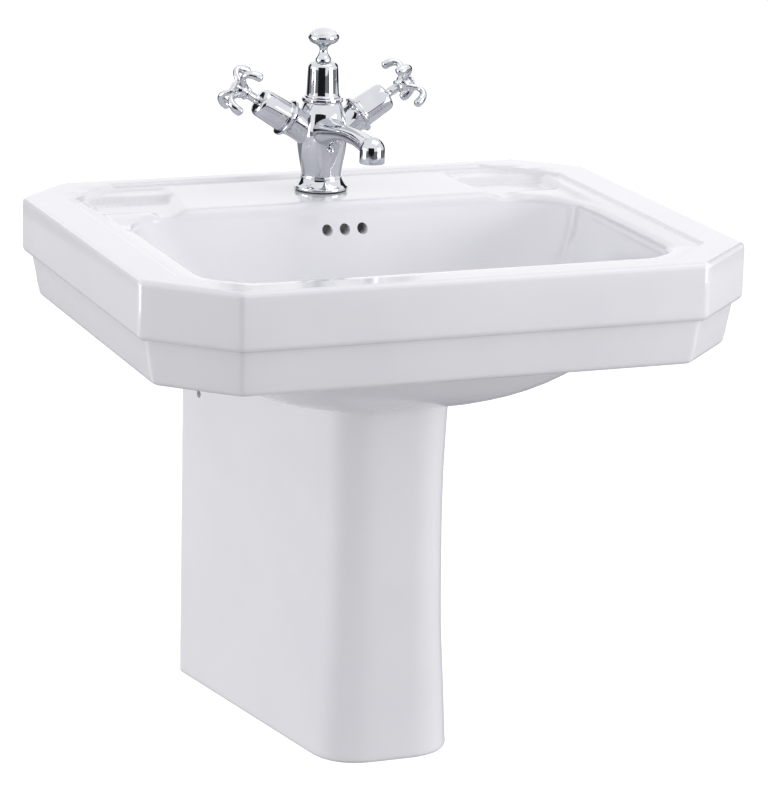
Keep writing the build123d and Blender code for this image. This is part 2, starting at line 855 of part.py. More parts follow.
# Plug: domed cap over a finned stem, hung on the rod by its eye, shown raised
plug_travel = lift_travel * ball_out / lever_out
plug_under_z = flange_top_z + loose_gap + plug_travel
plug_ring_core = waste_bore - plug_ring_radius + plug_ring_squeeze
eye_z = ball_z + ball_out * sin(half_tilt)
fin_top_z = plug_under_z - 3 * plug_ring_radius
fin_foot_z = eye_z + 2 * plug_eye_radius
with BuildPart() as waste_plug:
    add(
        turned(
            [
                (0, eye_z),
                (plug_stem_radius, eye_z),
                (plug_stem_radius, fin_top_z),
                (plug_ring_core + plug_ring_radius * 0.4, fin_top_z),
                (plug_ring_core + plug_ring_radius * 0.4, plug_under_z - 2 * plug_ring_radius),
                (plug_ring_core, plug_under_z - 2 * plug_ring_radius),
                (plug_ring_core, plug_under_z),
                (plug_radius, plug_under_z),
                (plug_radius, plug_under_z + plug_rim),
                (plug_radius * 0.7, plug_under_z + plug_rim + plug_crown * 0.7),
                (0, plug_under_z + plug_rim + plug_crown),
            ],
            upright(waste_place, 0),
        )
    )
    with BuildSketch(upright(waste_place, fin_foot_z)):
        for turn in (45, 135):
            with Locations(Rotation(0, 0, turn)):
                Rectangle(2 * (waste_bore - loose_gap), plug_fin)
    extrude(amount=fin_top_z - fin_foot_z)
    with BuildSketch(Plane.XZ.offset(waste_back - plug_eye_radius)):
        with Locations((0, eye_z)):
            Circle(plug_eye_radius + plug_eye_wall)
    extrude(amount=2 * plug_eye_radius)
    with BuildSketch(Plane.XZ.offset(waste_back)):
        with Locations((0, eye_z)):
            Circle(plug_eye_radius)
    extrude(amount=waste_bore, both=True, mode=Mode.SUBTRACT)
with BuildPart() as plug_seal:
    with Locations(upright(waste_place, plug_under_z - plug_ring_radius)):
        Torus(plug_ring_core + plug_ring_radius + running_gap, plug_ring_radius - running_gap)

# Bottle trap: slip nut, seal and head on the tail pipe, cup below, outlet to the wall
neck_top_z = tail_end_z + trap_neck
head_top_z = tail_end_z - trap_wall
head_foot_z = head_top_z - trap_head_height
outlet_z = head_top_z - trap_outlet_down
cup_foot_z = head_foot_z - trap_cup_depth + trap_cup_collar
outlet_plane = Plane(origin=(0, -waste_back, outlet_z), x_dir=(1, 0, 0), z_dir=(0, 1, 0))
stub_end = trap_outlet_length
with BuildPart() as trap_head:
    add(
        turned(
            [
                (0, head_foot_z),
                (trap_head_radius, head_foot_z),
                (trap_head_radius, head_top_z - 3),
                (trap_head_radius - 3, head_top_z),
                (trap_inlet_radius, head_top_z),
                (trap_inlet_radius, neck_top_z),
                (0, neck_top_z),
            ],
            upright(waste_place, 0),
        )
    )
    with BuildSketch(outlet_plane):
        Circle(trap_inlet_radius)
    extrude(amount=stub_end)
    with BuildSketch(upright(waste_place, head_foot_z)):
        Circle(trap_head_radius - trap_wall)
    extrude(amount=trap_head_height - trap_wall, mode=Mode.SUBTRACT)
    with BuildSketch(outlet_plane):
        Circle(trap_pipe_radius + thread_gap)
    extrude(amount=stub_end, mode=Mode.SUBTRACT)
    with BuildSketch(upright(waste_place, head_top_z - trap_wall / 2)):
        Circle(tail_pipe_radius)
    extrude(amount=-(head_top_z - cup_foot_z - trap_dip_gap))
    with BuildSketch(upright(waste_place, neck_top_z)):
        Circle(tail_pipe_bore)
    extrude(amount=-(neck_top_z - cup_foot_z), mode=Mode.SUBTRACT)
    with BuildSketch(upright(waste_place, neck_top_z)):
        Circle(tail_pipe_radius + thread_gap)
    extrude(amount=-(trap_neck + loose_gap), mode=Mode.SUBTRACT)
cup_inner = trap_head_radius + thread_gap
trap_cup = turned(
    [
        (0, cup_foot_z),
        (trap_cup_radius * 0.8, cup_foot_z),
        (trap_cup_radius, cup_foot_z + 6),
        (trap_cup_radius, head_foot_z + trap_cup_collar - 1),
        (trap_cup_radius + 1.5, head_foot_z + trap_cup_collar),
        (cup_inner, head_foot_z + trap_cup_collar),
        (cup_inner, head_foot_z),
        (cup_inner - trap_wall, head_foot_z - trap_seal),
        (cup_inner - trap_wall, cup_foot_z + 7),
        (trap_cup_radius * 0.8 - 2, cup_foot_z + trap_wall),
        (0, cup_foot_z + trap_wall),
    ],
    upright(waste_place, 0),
)


def slip_nut(plane, grip_radius, pipe_radius, seal):
    """A hexagon slip nut: wide over the neck below the plane, narrow on the pipe above the seal."""
    with BuildPart() as piece:
        add(nut(trap_nut_flats, trap_nut_height, pipe_radius + loose_gap, plane.offset(-trap_nut_grip)))
        with BuildSketch(plane.offset(-trap_nut_grip)):
            Circle(grip_radius + thread_gap)
        extrude(amount=trap_nut_grip + seal, mode=Mode.SUBTRACT)
    return piece.part


inlet_seal_plane = upright(waste_place, neck_top_z)
trap_inlet_nut = slip_nut(inlet_seal_plane, trap_inlet_radius, tail_pipe_radius, trap_seal)
outlet_seal_plane = outlet_plane.offset(stub_end)
trap_outlet_nut = slip_nut(outlet_seal_plane, trap_inlet_radius, trap_pipe_radius, trap_seal)
trap_seals = group(
    "trap_seals",
    [
        washer(trap_inlet_radius, tail_pipe_radius + thread_gap, trap_seal, inlet_seal_plane),
        washer(trap_inlet_radius, trap_pipe_radius + thread_gap, trap_seal, outlet_seal_plane),
    ],
)
pipe_start = trap_head_radius
trap_outlet_pipe = turned(
    [
        (trap_pipe_bore, pipe_start),
        (trap_pipe_radius, pipe_start),
        (trap_pipe_radius, waste_back),
        (trap_pipe_radius - trap_groove_depth, waste_back),
        (trap_pipe_radius - trap_groove_depth, waste_back + trap_groove),
        (trap_pipe_radius, waste_back + trap_groove),
        (trap_pipe_radius, waste_back + trap_pipe_in_wall),
        (trap_pipe_bore, waste_back + trap_pipe_in_wall),
    ],
    outlet_plane,
)
trap_wall_flange = turned(
    [
        (trap_pipe_radius + loose_gap, waste_back),
        (trap_flange_radius, waste_back),
        (trap_flange_radius - 2, waste_back - 2),
        (trap_pipe_radius + 4, waste_back - trap_flange_depth),
        (trap_pipe_radius + loose_gap, waste_back - trap_flange_depth),
    ],
    outlet_plane,
)

# Tap body: turned foot, barrel and hub, two raised arms, and the spout in one casting
tap_plane = upright(tap_place, seat_z)
tap_section = Plane(origin=tap_plane.origin, x_dir=(1, 0, 0), z_dir=(0, -1, 0))


def arm_plane(side):
    """Plane square to a tap arm, at the middle of the hub, facing outwards along the arm."""
    angle = radians(tap_arm_angle)
    return Plane(
        origin=(0, -tap_back, seat_z + tap_arm_rise),
        x_dir=(0, -1, 0),
        z_dir=(side * cos(angle), 0, sin(angle)),
    )


with BuildPart() as tap_body:
    with BuildSketch(tap_section):
        with BuildLine():
            Polyline((tap_ring_radius, tap_ring_top), (0, tap_ring_top), (0, 0), (tap_foot_radius, 0))
            Line((tap_foot_radius, 0), (tap_foot_radius, tap_foot_height))
            Spline(
                (tap_foot_radius, tap_foot_height),
                (tap_neck_radius + 2, tap_neck_height * 0.6),
                (tap_neck_radius, tap_neck_height),
            )
            Line((tap_neck_radius, tap_neck_height), (tap_neck_radius - 0.8, tap_neck_height + 1))
            Spline(
                (tap_neck_radius - 0.8, tap_neck_height + 1),
                (tap_barrel_radius - 1.4, tap_barrel_height * 0.66),
                (tap_barrel_radius, tap_barrel_height),
                (tap_barrel_radius + 0.8, tap_arm_rise + 10),
                (tap_hub_top_radius + 3, tap_hub_height - 6),
                (tap_hub_top_radius, tap_hub_height),
            )
            Line((tap_hub_top_radius, tap_hub_height), (tap_ring_radius, tap_ring_height))
            Line((tap_ring_radius, tap_ring_height), (tap_ring_radius, tap_ring_top))
        make_face()
    revolve(axis=Axis(tap_plane.origin, (0, 0, 1)))
    for side in (1, -1):
        add(
            turned(
                [
                    (0, 0),
                    (tap_arm_radius, 0),
                    (tap_arm_radius, tap_arm_ring_at - 3 * tap_arm_ring),
                    (tap_arm_ring_radius - 1.5, tap_arm_ring_at - tap_arm_ring / 2),
                    (tap_arm_ring_radius, tap_arm_ring_at - tap_arm_ring / 2),
                    (tap_arm_ring_radius, tap_arm_ring_at + tap_arm_ring / 2),
                    (0, tap_arm_ring_at + tap_arm_ring / 2),
                ],
                arm_plane(side),
            )
        )
    for place, height, radius in spout_stations:
        with BuildSketch(Plane(origin=(0, -place, seat_z + height), x_dir=(1, 0, 0), z_dir=(0, -1, 0))):
            Circle(radius)
    loft()
    with Locations((0, -spout_outlet_back, seat_z + spout_elbow_height)):
        Sphere(spout_outlet_radius)
    with BuildSketch(upright((0, -spout_outlet_back), seat_z + spout_outlet_height)):
        Circle(spout_outlet_radius)
    extrude(amount=spout_elbow_height - spout_outlet_height)
    with Locations((0, -tap_back - tap_barrel_radius - finial_radius, seat_z + tap_barrel_height)):
        Sphere(finial_radius)
    # Bores: outlet, rod, shank socket, tail ports and cartridge seats
    with BuildSketch(upright((0, -spout_outlet_back), seat_z + spout_outlet_height)):
        Circle(spout_outlet_bore)
    extrude(amount=straightener_length, mode=Mode.SUBTRACT)
    with BuildSketch(tap_plane):
        Circle(shank_radius + thread_gap)
    extrude(amount=shank_in_body, mode=Mode.SUBTRACT)
    with BuildSketch(tap_plane.offset(shank_in_body)):
        with Locations((-tail_offset, 0), (tail_offset, 0)):
            Circle(tail_radius + thread_gap)
    extrude(amount=tail_in_body, mode=Mode.SUBTRACT)
    with BuildSketch(tap_plane):
        Circle(tower_bore)
    extrude(amount=tap_ring_top, mode=Mode.SUBTRACT)
    with BuildSketch(tap_plane.offset(tap_ring_top)):
        Circle(tower_spigot_radius + thread_gap)
    extrude(amount=-tower_spigot, mode=Mode.SUBTRACT)
    for side in (1, -1):
        with BuildSketch(arm_plane(side).offset(tap_arm_ring_at + tap_arm_ring / 2)):
            Circle(cartridge_radius + thread_gap)
        extrude(amount=-cartridge_in_body, mode=Mode.SUBTRACT)

# Headworks, one set on each arm: cartridge, turning spindle, bonnet, handle and its index button
socket_at = tap_arm_ring_at + tap_arm_ring / 2
bonnet_end = socket_at + bonnet_length
cartridge_foot = socket_at - cartridge_in_body
cartridge_top = cartridge_foot + cartridge_length
handle_foot = handle_at - handle_hub_length / 2
handle_top = handle_at + handle_hub_length / 2
spindle_in_handle = handle_hub_length * 0.6


def cartridge(side):
    """Brass headwork body with a collar that stands on the arm's ring."""
    return turned(
        [
            (spindle_radius + running_gap, cartridge_foot),
            (cartridge_radius, cartridge_foot),
            (cartridge_radius, socket_at),
            (bonnet_radius - bonnet_wall - loose_gap, socket_at),
            (bonnet_radius - bonnet_wall - loose_gap, socket_at + 4),
            (cartridge_radius, socket_at + 4),
            (cartridge_radius, cartridge_top),
            (spindle_radius + running_gap, cartridge_top),
        ],
        arm_plane(side),
    )


def spindle(side):
    """Stem that turns in the cartridge and carries the handle."""
    return turned(
        [
            (0, cartridge_foot + 2),
            (spindle_radius, cartridge_foot + 2),
            (spindle_radius, handle_foot + spindle_in_handle),
            (0, handle_foot + spindle_in_handle),
        ],
        arm_plane(side),
    )


def bonnet(side):
    """Slightly tapered cover over the cartridge, with a rounded nose round the stem."""
    plane = arm_plane(side)
    section = Plane(plane.origin, x_dir=plane.x_dir, z_dir=-plane.y_dir)
    with BuildPart() as piece:
        with BuildSketch(section):
            with BuildLine():
                Polyline(
                    (bonnet_end_radius, bonnet_end - bonnet_round),
                    (bonnet_radius, socket_at + 1.2),
                    (bonnet_radius, socket_at),
                    (bonnet_radius - bonnet_wall, socket_at),
                    (bonnet_end_radius - bonnet_wall, bonnet_end - bonnet_round),
                    (spindle_radius + loose_gap, bonnet_end - bonnet_wall),
                    (spindle_radius + loose_gap, bonnet_end),
                    (bonnet_end_radius - bonnet_round, bonnet_end),
                )
                RadiusArc(
                    (bonnet_end_radius - bonnet_round, bonnet_end),
                    (bonnet_end_radius, bonnet_end - bonnet_round),
                    bonnet_round,
                )
            make_face()
        revolve(axis=Axis(plane.origin, plane.z_dir))
    return piece.part


# Handle: hub with swan-neck claws that rise, sweep out and curl back towards the body
with BuildPart() as handle_form:
    add(
        turned(
            [
                (0, handle_foot),
                (handle_hub_radius * 0.75, handle_foot),
                (handle_hub_radius, handle_foot + 3),
                (handle_hub_radius, handle_at),
                (handle_hub_radius * 0.8, handle_top - 3),
                (handle_hub_radius * 0.92, handle_top),
                (0, handle_top),
            ],
            Plane.XY,
        )
    )
    for count in range(claw_count):
        turn = radians(claw_turn + count * 360 / claw_count)
        claw_plane = Plane(
            origin=(0, 0, handle_at), x_dir=(cos(turn), sin(turn), 0), z_dir=(sin(turn), -cos(turn), 0)
        )
        with BuildLine(claw_plane) as claw_line:
            Spline(*claw_path)
        with BuildSketch(Plane(origin=claw_line.line @ 0, z_dir=claw_line.line % 0)):
            Circle(claw_radius)
        sweep(path=claw_line.line)
        with Locations(claw_line.line @ 1):
            Sphere(claw_tip_radius)
    with BuildSketch(Plane.XY.offset(handle_foot)):
        Circle(spindle_radius + thread_gap)
    extrude(amount=spindle_in_handle, mode=Mode.SUBTRACT)


def handle(side):
    """The handle on its arm."""
    return arm_plane(side).location * handle_form.part


def index_button(side):
    """Low domed button that closes the handle's face."""
    return turned(
        [
            (0, handle_top),
            (index_radius, handle_top),
            (index_radius, handle_top + index_height * 0.4),
            (index_radius * 0.6, handle_top + index_height * 0.85),
            (0, handle_top + index_height),
        ],
        arm_plane(side),
    )


# Middle tower with its rod guide, and the pull knob with its china cap
tower_foot = tap_ring_top
tower_top = tower_foot + tower_height
with BuildPart() as tap_tower:
    with BuildSketch(tap_section):
        with BuildLine():
            Polyline(
                (tower_top_radius - tower_round, tower_top),
                (tower_bore, tower_top),
                (tower_bore, tower_foot - tower_spigot),
                (tower_spigot_radius, tower_foot - tower_spigot),
                (tower_spigot_radius, tower_foot),
                (tower_radius, tower_foot),
            )
            Spline(
                (tower_radius, tower_foot),
                (tower_radius * 0.62 + tower_top_radius * 0.38, tower_foot + tower_height * 0.4),
                (tower_top_radius, tower_top - tower_round),
            )
            RadiusArc(
                (tower_top_radius, tower_top - tower_round),
                (tower_top_radius - tower_round, tower_top),
                -tower_round,
            )
        make_face()
    revolve(axis=Axis(tap_plane.origin, (0, 0, 1)))
    with BuildSketch(tap_plane.offset(tower_top)):
        Circle(guide_radius + thread_gap)
    extrude(amount=-guide_length, mode=Mode.SUBTRACT)
rod_guide = washer(guide_radius, lift_rod_radius + running_gap, guide_length, tap_plane.offset(tower_top - guide_length))

knob_foot = tower_top + loose_gap
knob_cup_top = knob_foot + knob_cup_height
with BuildPart() as lift_knob:
    with BuildSketch(tap_section):
        with BuildLine():
            Polyline((0, knob_foot), (knob_base_radius, knob_foot), (knob_base_radius, knob_foot + 1))
            Spline(
                (knob_base_radius, knob_foot + 1),
                (knob_neck_radius, knob_foot + knob_neck_height),
                (knob_cup_radius * 0.55, knob_cup_top - knob_cup_height * 0.36),
                (knob_cup_radius, knob_cup_top - 4),
                (knob_cup_radius - 1.5, knob_cup_top),
            )
            Polyline(
                (knob_cup_radius - 1.5, knob_cup_top),
                (knob_cap_radius, knob_cup_top),
                (knob_cap_radius, knob_cup_top - knob_cap_seat),
                (0, knob_cup_top - knob_cap_seat),
                (0, knob_foot),
            )
        make_face()
    revolve(axis=Axis(tap_plane.origin, (0, 0, 1)))
    with BuildSketch(tap_plane.offset(knob_foot)):
        Circle(lift_rod_radius + thread_gap)
    extrude(amount=knob_neck_height, mode=Mode.SUBTRACT)
with BuildPart() as knob_cap:
    with BuildSketch(tap_section):
        with BuildLine():
            Polyline(
                (knob_cap_radius - thread_gap, knob_cup_top),
                (knob_cap_radius - thread_gap, knob_cup_top - knob_cap_seat),
                (0, knob_cup_top - knob_cap_seat),
                (0, knob_cup_top + knob_cap_rise),
            )
            ThreePointArc(
                (0, knob_cup_top + knob_cap_rise),
                (knob_cap_radius * 0.62, knob_cup_top + knob_cap_rise * 0.68),
                (knob_cap_radius - thread_gap, knob_cup_top),
            )
        make_face()
    revolve(axis=Axis(tap_plane.origin, (0, 0, 1)))

# Lift rod down through the tap, and the clamp that takes the ball rod's tail
clamp_z = ball_z - lift_travel / 2
clamp_hole = ball_rod_radius + clamp_play
rod_foot_z = clamp_z + clamp_hole + clamp_web
rod_top_z = seat_z + knob_foot + knob_neck_height
lift_rod = turned(
    [(0, rod_foot_z), (lift_rod_radius, rod_foot_z), (lift_rod_radius, rod_top_z), (0, rod_top_z)],
    upright(tap_place, 0),
)
with BuildPart() as rod_clamp:
    with BuildSketch(upright(tap_place, clamp_z - clamp_size / 2)):
        RectangleRounded(clamp_size, clamp_size, 2)
    extrude(amount=clamp_height + clamp_size / 2)
    with BuildSketch(upright(tap_place, rod_foot_z)):
        Circle(lift_rod_radius + thread_gap)
    extrude(amount=clamp_height, mode=Mode.SUBTRACT)
    with BuildSketch(Plane.XZ.offset(tap_back)):
        with Locations((0, clamp_z)):
            Circle(clamp_hole)
    extrude(amount=clamp_size, both=True, mode=Mode.SUBTRACT)
    screw_z = (rod_foot_z + clamp_z + clamp_height) / 2
    screw_plane = Plane(origin=(clamp_size / 2, -tap_back, screw_z), z_dir=(1, 0, 0))
    with BuildSketch(screw_plane):
        Circle(clamp_screw_radius + thread_gap)
    extrude(amount=-clamp_size / 2, mode=Mode.SUBTRACT)
clamp_screw = turned(
    screw_outline(
        clamp_screw_radius,
        clamp_screw_head,
        clamp_screw_head_height,
        clamp_size / 2 - lift_rod_radius - running_gap,
        clamp_screw_radius - loose_gap,
        clamp_screw_radius,
    ),
    screw_plane,
)

# Flow straightener in the spout's mouth: a ring with crossed vanes
mouth_plane = upright((0, -spout_outlet_back), seat_z + spout_outlet_height)
with BuildPart() as flow_straightener:
    with BuildSketch(mouth_plane):
        Circle(spout_outlet_bore - thread_gap)
        Circle(spout_outlet_bore - 2, mode=Mode.SUBTRACT)
        for turn in range(0, 180, 45):
            with Locations(Rotation(0, 0, turn)):
                Rectangle(2 * spout_outlet_bore - 3, 0.8)
    extrude(amount=straightener_length)

# Tap fixings under the deck
tap_gasket = washer(gasket_radius, shank_radius + loose_gap, seal_thickness, upright(tap_place, deck_z))
shank_foot_z = deck_under_z - shank_below_deck
tap_shank = washer(shank_radius, shank_bore, seat_z + shank_in_body - shank_foot_z, upright(tap_place, shank_foot_z))
fixing_z = deck_under_z - fixing_rubber
fixing_rubber_washer = washer(
    fixing_washer_radius, shank_radius + thread_gap, fixing_rubber, upright(tap_place, fixing_z)
)
fixing_plate_washer = washer(
    fixing_washer_radius, shank_radius + thread_gap, fixing_plate, upright(tap_place, fixing_z - fixing_plate)
)
fixing_nut = nut(
    fixing_nut_flats,
    fixing_nut_height,
    shank_radius + thread_gap,
    upright(tap_place, fixing_z - fixing_plate - fixing_nut_height),
)


def tail(side):
    """Bent copper tail from its port in the tap, spread apart from its pair below the shank."""
    top = seat_z + shank_in_body + tail_in_body
    with BuildPart() as piece:
        with BuildLine() as route:
            FilletPolyline(
                (side * tail_offset, -tap_back, top),
                (side * tail_offset, -tap_back, rim_z - tail_bend_top),
                (side * tail_spread, -tap_back, rim_z - tail_bend_low),
                (side * tail_spread, -tap_back, rim_z - tail_end_drop),
                radius=tail_bend_radius,
            )
        with BuildSketch(Plane(origin=route.line @ 0, z_dir=route.line % 0)):
            Circle(tail_radius)
            Circle(tail_bore, mode=Mode.SUBTRACT)
        sweep(path=route.line)
    return piece.part


pieces = {
    "basin": basin.part,
    "semi_pedestal": semi_pedestal.part,
    "pedestal_brackets": pedestal_brackets.part,
    "bracket_wall_screws": bracket_wall_screws,
    "pedestal_side_screws": pedestal_side_screws,
    "wall_studs": wall_studs,
    "stud_sleeves": stud_sleeves,
    "stud_washers": stud_washers,
    "stud_nuts": stud_nuts,
    "waste_body": waste_body.part,
    "waste_flange_seal": waste_flange_seal,
    "waste_under_seal": waste_under_seal,
    "waste_back_nut": waste_back_nut,
    "waste_tailpiece": waste_tailpiece.part,
    "ball_rod": ball_rod.part,
    "ball_seat": ball_seat.part,
    "gland_nut": gland_nut.part,
    "waste_plug": waste_plug.part,
    "plug_seal": plug_seal.part,
    "trap_head": trap_head.part,
    "trap_cup": trap_cup,
    "trap_inlet_nut": trap_inlet_nut,
    "trap_outlet_nut": trap_outlet_nut,
    "trap_seals": trap_seals,
    "trap_outlet_pipe": trap_outlet_pipe,
    "trap_wall_flange": trap_wall_flange,
    "tap_body": tap_body.part,
    "tap_tower": tap_tower.part,
    "rod_guide": rod_guide,
    "lift_knob": lift_knob.part,
    "knob_cap": knob_cap.part,
    "lift_rod": lift_rod,
    "rod_clamp": rod_clamp.part,
    "clamp_screw": clamp_screw,
    "flow_straightener": flow_straightener.part,
    "tap_gasket": tap_gasket,
    "tap_shank": tap_shank,
    "fixing_rubber_washer": fixing_rubber_washer,
    "fixing_plate_washer": fixing_plate_washer,
    "fixing_nut": fixing_nut,
}
for name, side in (("hot", -1), ("cold", 1)):
    pieces[name + "_cartridge"] = cartridge(side)
    pieces[name + "_spindle"] = spindle(side)
    pieces[name + "_bonnet"] = bonnet(side)
    pieces[name + "_handle"] = handle(side)
    pieces[name + "_index"] = index_button(side)
    pieces[name + "_tail"] = tail(side)

os.makedirs("parts", exist_ok=True)
for name, piece in pieces.items():
    piece.label = name
    export_step(piece, "parts/" + name + ".step")
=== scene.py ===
"""Looks of a wall-hung washbasin on a half pedestal: glazed china, chromed tap, waste and trap."""

import json
from math import cos, pi, radians, sin, sqrt, tan

import bmesh
import bpy
from bpy.props import FloatProperty, FloatVectorProperty, PointerProperty
from mathutils import Matrix, Vector


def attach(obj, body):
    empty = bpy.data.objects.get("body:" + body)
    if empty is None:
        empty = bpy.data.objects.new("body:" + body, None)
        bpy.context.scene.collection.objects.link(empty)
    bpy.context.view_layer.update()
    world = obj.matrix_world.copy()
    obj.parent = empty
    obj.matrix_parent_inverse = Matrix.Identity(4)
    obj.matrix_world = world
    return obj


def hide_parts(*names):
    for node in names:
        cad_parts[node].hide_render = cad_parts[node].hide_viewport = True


bl_info = {
    "name": "Semi-pedestal basin",
    "version": (1, 0, 0),
    "blender": (4, 5, 0),
    "location": "3D View > Sidebar > Basin",
    "description": "Dresses the packed washbasin with glazed china, chrome and its fittings",
    "category": "Object",
}

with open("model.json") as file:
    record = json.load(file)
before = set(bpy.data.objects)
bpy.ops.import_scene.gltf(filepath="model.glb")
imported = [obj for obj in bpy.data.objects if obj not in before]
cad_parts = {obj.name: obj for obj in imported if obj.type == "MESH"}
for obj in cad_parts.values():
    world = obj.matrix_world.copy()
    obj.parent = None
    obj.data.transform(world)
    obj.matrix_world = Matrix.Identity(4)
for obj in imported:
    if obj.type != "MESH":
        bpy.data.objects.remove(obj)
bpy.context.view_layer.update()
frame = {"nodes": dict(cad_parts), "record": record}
MM = 0.001
UP = (0, 0, 1)
INTO_WALL = (0, 1, 0)
QUARTER = radians(90.0)

# Radius, in millimetres, of the small ring where a turned outline meets its axis
ON_AXIS = 0.03
# Points nearer to each other than this, in metres, become one
WELD = 0.00002
# Points along each of an outline's sides, round each of its corners, and in each bend of a cut corner
SIDE_POINTS = (110, 164, 110, 164)
CORNER_POINTS = 24
BEND_POINTS = 9

# Places in millimetres in the row frame, as in the solids
RIM_Z = 70.0
RIM_HALF = 305.0
RIM_DEPTH = 510.0
FRONT_CUT = 74.0
BACK_CUT = 53.0
APRON_Z = -31.5
WASTE_Y = -262.0
TAP_Y = -84.0
TAP_FOOT_Z = 68.5
ARM_Z = 118.5
ARM_ANGLE = radians(32.0)
OVERFLOW_XS = (-18.7, 0.0, 18.7)
OVERFLOW_Z = 40.5
OVERFLOW_RADIUS = 5.5
BOLT_XS = (-140.0, 140.0)
STUD_PROUD = 46.0
WALL_SCREW_XS = (-84.73, 84.73)
WALL_SCREW_Z = -158.0

# Bowl, from its edge down: drop below the rim, half width, distance of its back and front from the wall, and
# the rounds of its back and front corners
BOWL_STATIONS = (
    (3.0, 236.0, 147.0, 449.0, 58.0, 50.0),
    (41.9, 225.0, 161.0, 437.0, 60.0, 56.0),
    (92.1, 194.0, 176.0, 416.0, 66.0, 66.0),
    (132.0, 150.0, 191.0, 384.0, 74.0, 74.0),
    (154.0, 100.0, 207.0, 344.0, 60.0, 60.0),
    (165.0, 38.0, 224.0, 300.0, 37.9, 37.9),
)


def to_linear(code):
    """A colour written as sRGB hex, as the linear values that a shader takes."""
    parts = [int(code[i : i + 2], 16) / 255 for i in (1, 3, 5)]
    return [c / 12.92 if c <= 0.04045 else ((c + 0.055) / 1.055) ** 2.4 for c in parts] + [1.0]


def ease(low, high, value):
    """Nought before low, one after high, and a soft S between them."""
    t = min(1.0, max(0.0, (value - low) / (high - low)))
    return t * t * (3 - 2 * t)


def mix(a, b, share):
    """The value a share of the way from one to the other."""
    return a + (b - a) * share


def between(a, b, share):
    """The plan point a share of the way from one to the other."""
    return (mix(a[0], b[0], share), mix(a[1], b[1], share))


def blended(ring, other, share):
    """The ring a share of the way from one to the other."""
    return [between(a, b, share) for a, b in zip(ring, other)]


# Materials


def add_node(tree, kind, settings=None, links=None):
    """Adds a node to a tree, gives it its settings, and links its inputs to other nodes' outputs."""
    node = tree.nodes.new(kind)
    for name, value in (settings or {}).items():
        if isinstance(name, str) and hasattr(node, name):
            setattr(node, name, value)
        else:
            node.inputs[name].default_value = value
    for name, source in (links or {}).items():
        tree.links.new(source, node.inputs[name])
    return node


def empty_tree(owner):
    """The node tree of a material or world, with nothing in it."""
    owner.use_nodes = True
    owner.node_tree.nodes.clear()
    return owner.node_tree


def noise(tree, place, size_mm, detail):
    """Noise of a given grain size in object space."""
    settings = {"Scale": 1 / (size_mm * MM), "Detail": detail}
    return add_node(tree, "ShaderNodeTexNoise", settings, {"Vector": place}).outputs["Fac"]


def surface(name, settings, colours, wave, rough):
    """A material with its colour drift, roughness drift and surface wave made from noise in object space."""
    made = bpy.data.materials.new(name)
    tree = empty_tree(made)
    place = add_node(tree, "ShaderNodeTexCoord").outputs["Object"]
    dark, light, drift_mm = colours
    ramp = add_node(tree, "ShaderNodeValToRGB", {}, {"Fac": noise(tree, place, drift_mm, 3.0)})
    ends = ramp.color_ramp.elements
    ends[0].position = 0.3
    ends[1].position = 0.7
    ends[0].color = to_linear(dark)
    ends[1].color = to_linear(light)
    low, high, wear_mm = rough
    limits = {"To Min": low, "To Max": high}
    band = add_node(tree, "ShaderNodeMapRange", limits, {"Value": noise(tree, place, wear_mm, 4.0)})
    wave_mm, height_mm = wave
    depth = {"Strength": 1.0, "Distance": height_mm * MM}
    bump = add_node(tree, "ShaderNodeBump", depth, {"Height": noise(tree, place, wave_mm, 1.0)})
    links = {
        "Base Color": ramp.outputs["Color"],
        "Roughness": band.outputs["Result"],
        "Normal": bump.outputs["Normal"],
    }
    shader = add_node(tree, "ShaderNodeBsdfPrincipled", settings, links)
    add_node(tree, "ShaderNodeOutputMaterial", {}, {"Surface": shader.outputs["BSDF"]})
    return made


METAL = {"Metallic": 1.0}
RUBBER = {"IOR": 1.52}
NYLON = {"IOR": 1.53}
ENAMEL = {"IOR": 1.5}
GLAZE = {"IOR": 1.5, "Coat Weight": 0.3, "Coat Roughness": 0.1, "Coat IOR": 1.5}
CHROME = ("#C3C6CB", "#D2D4D8", 30.0)

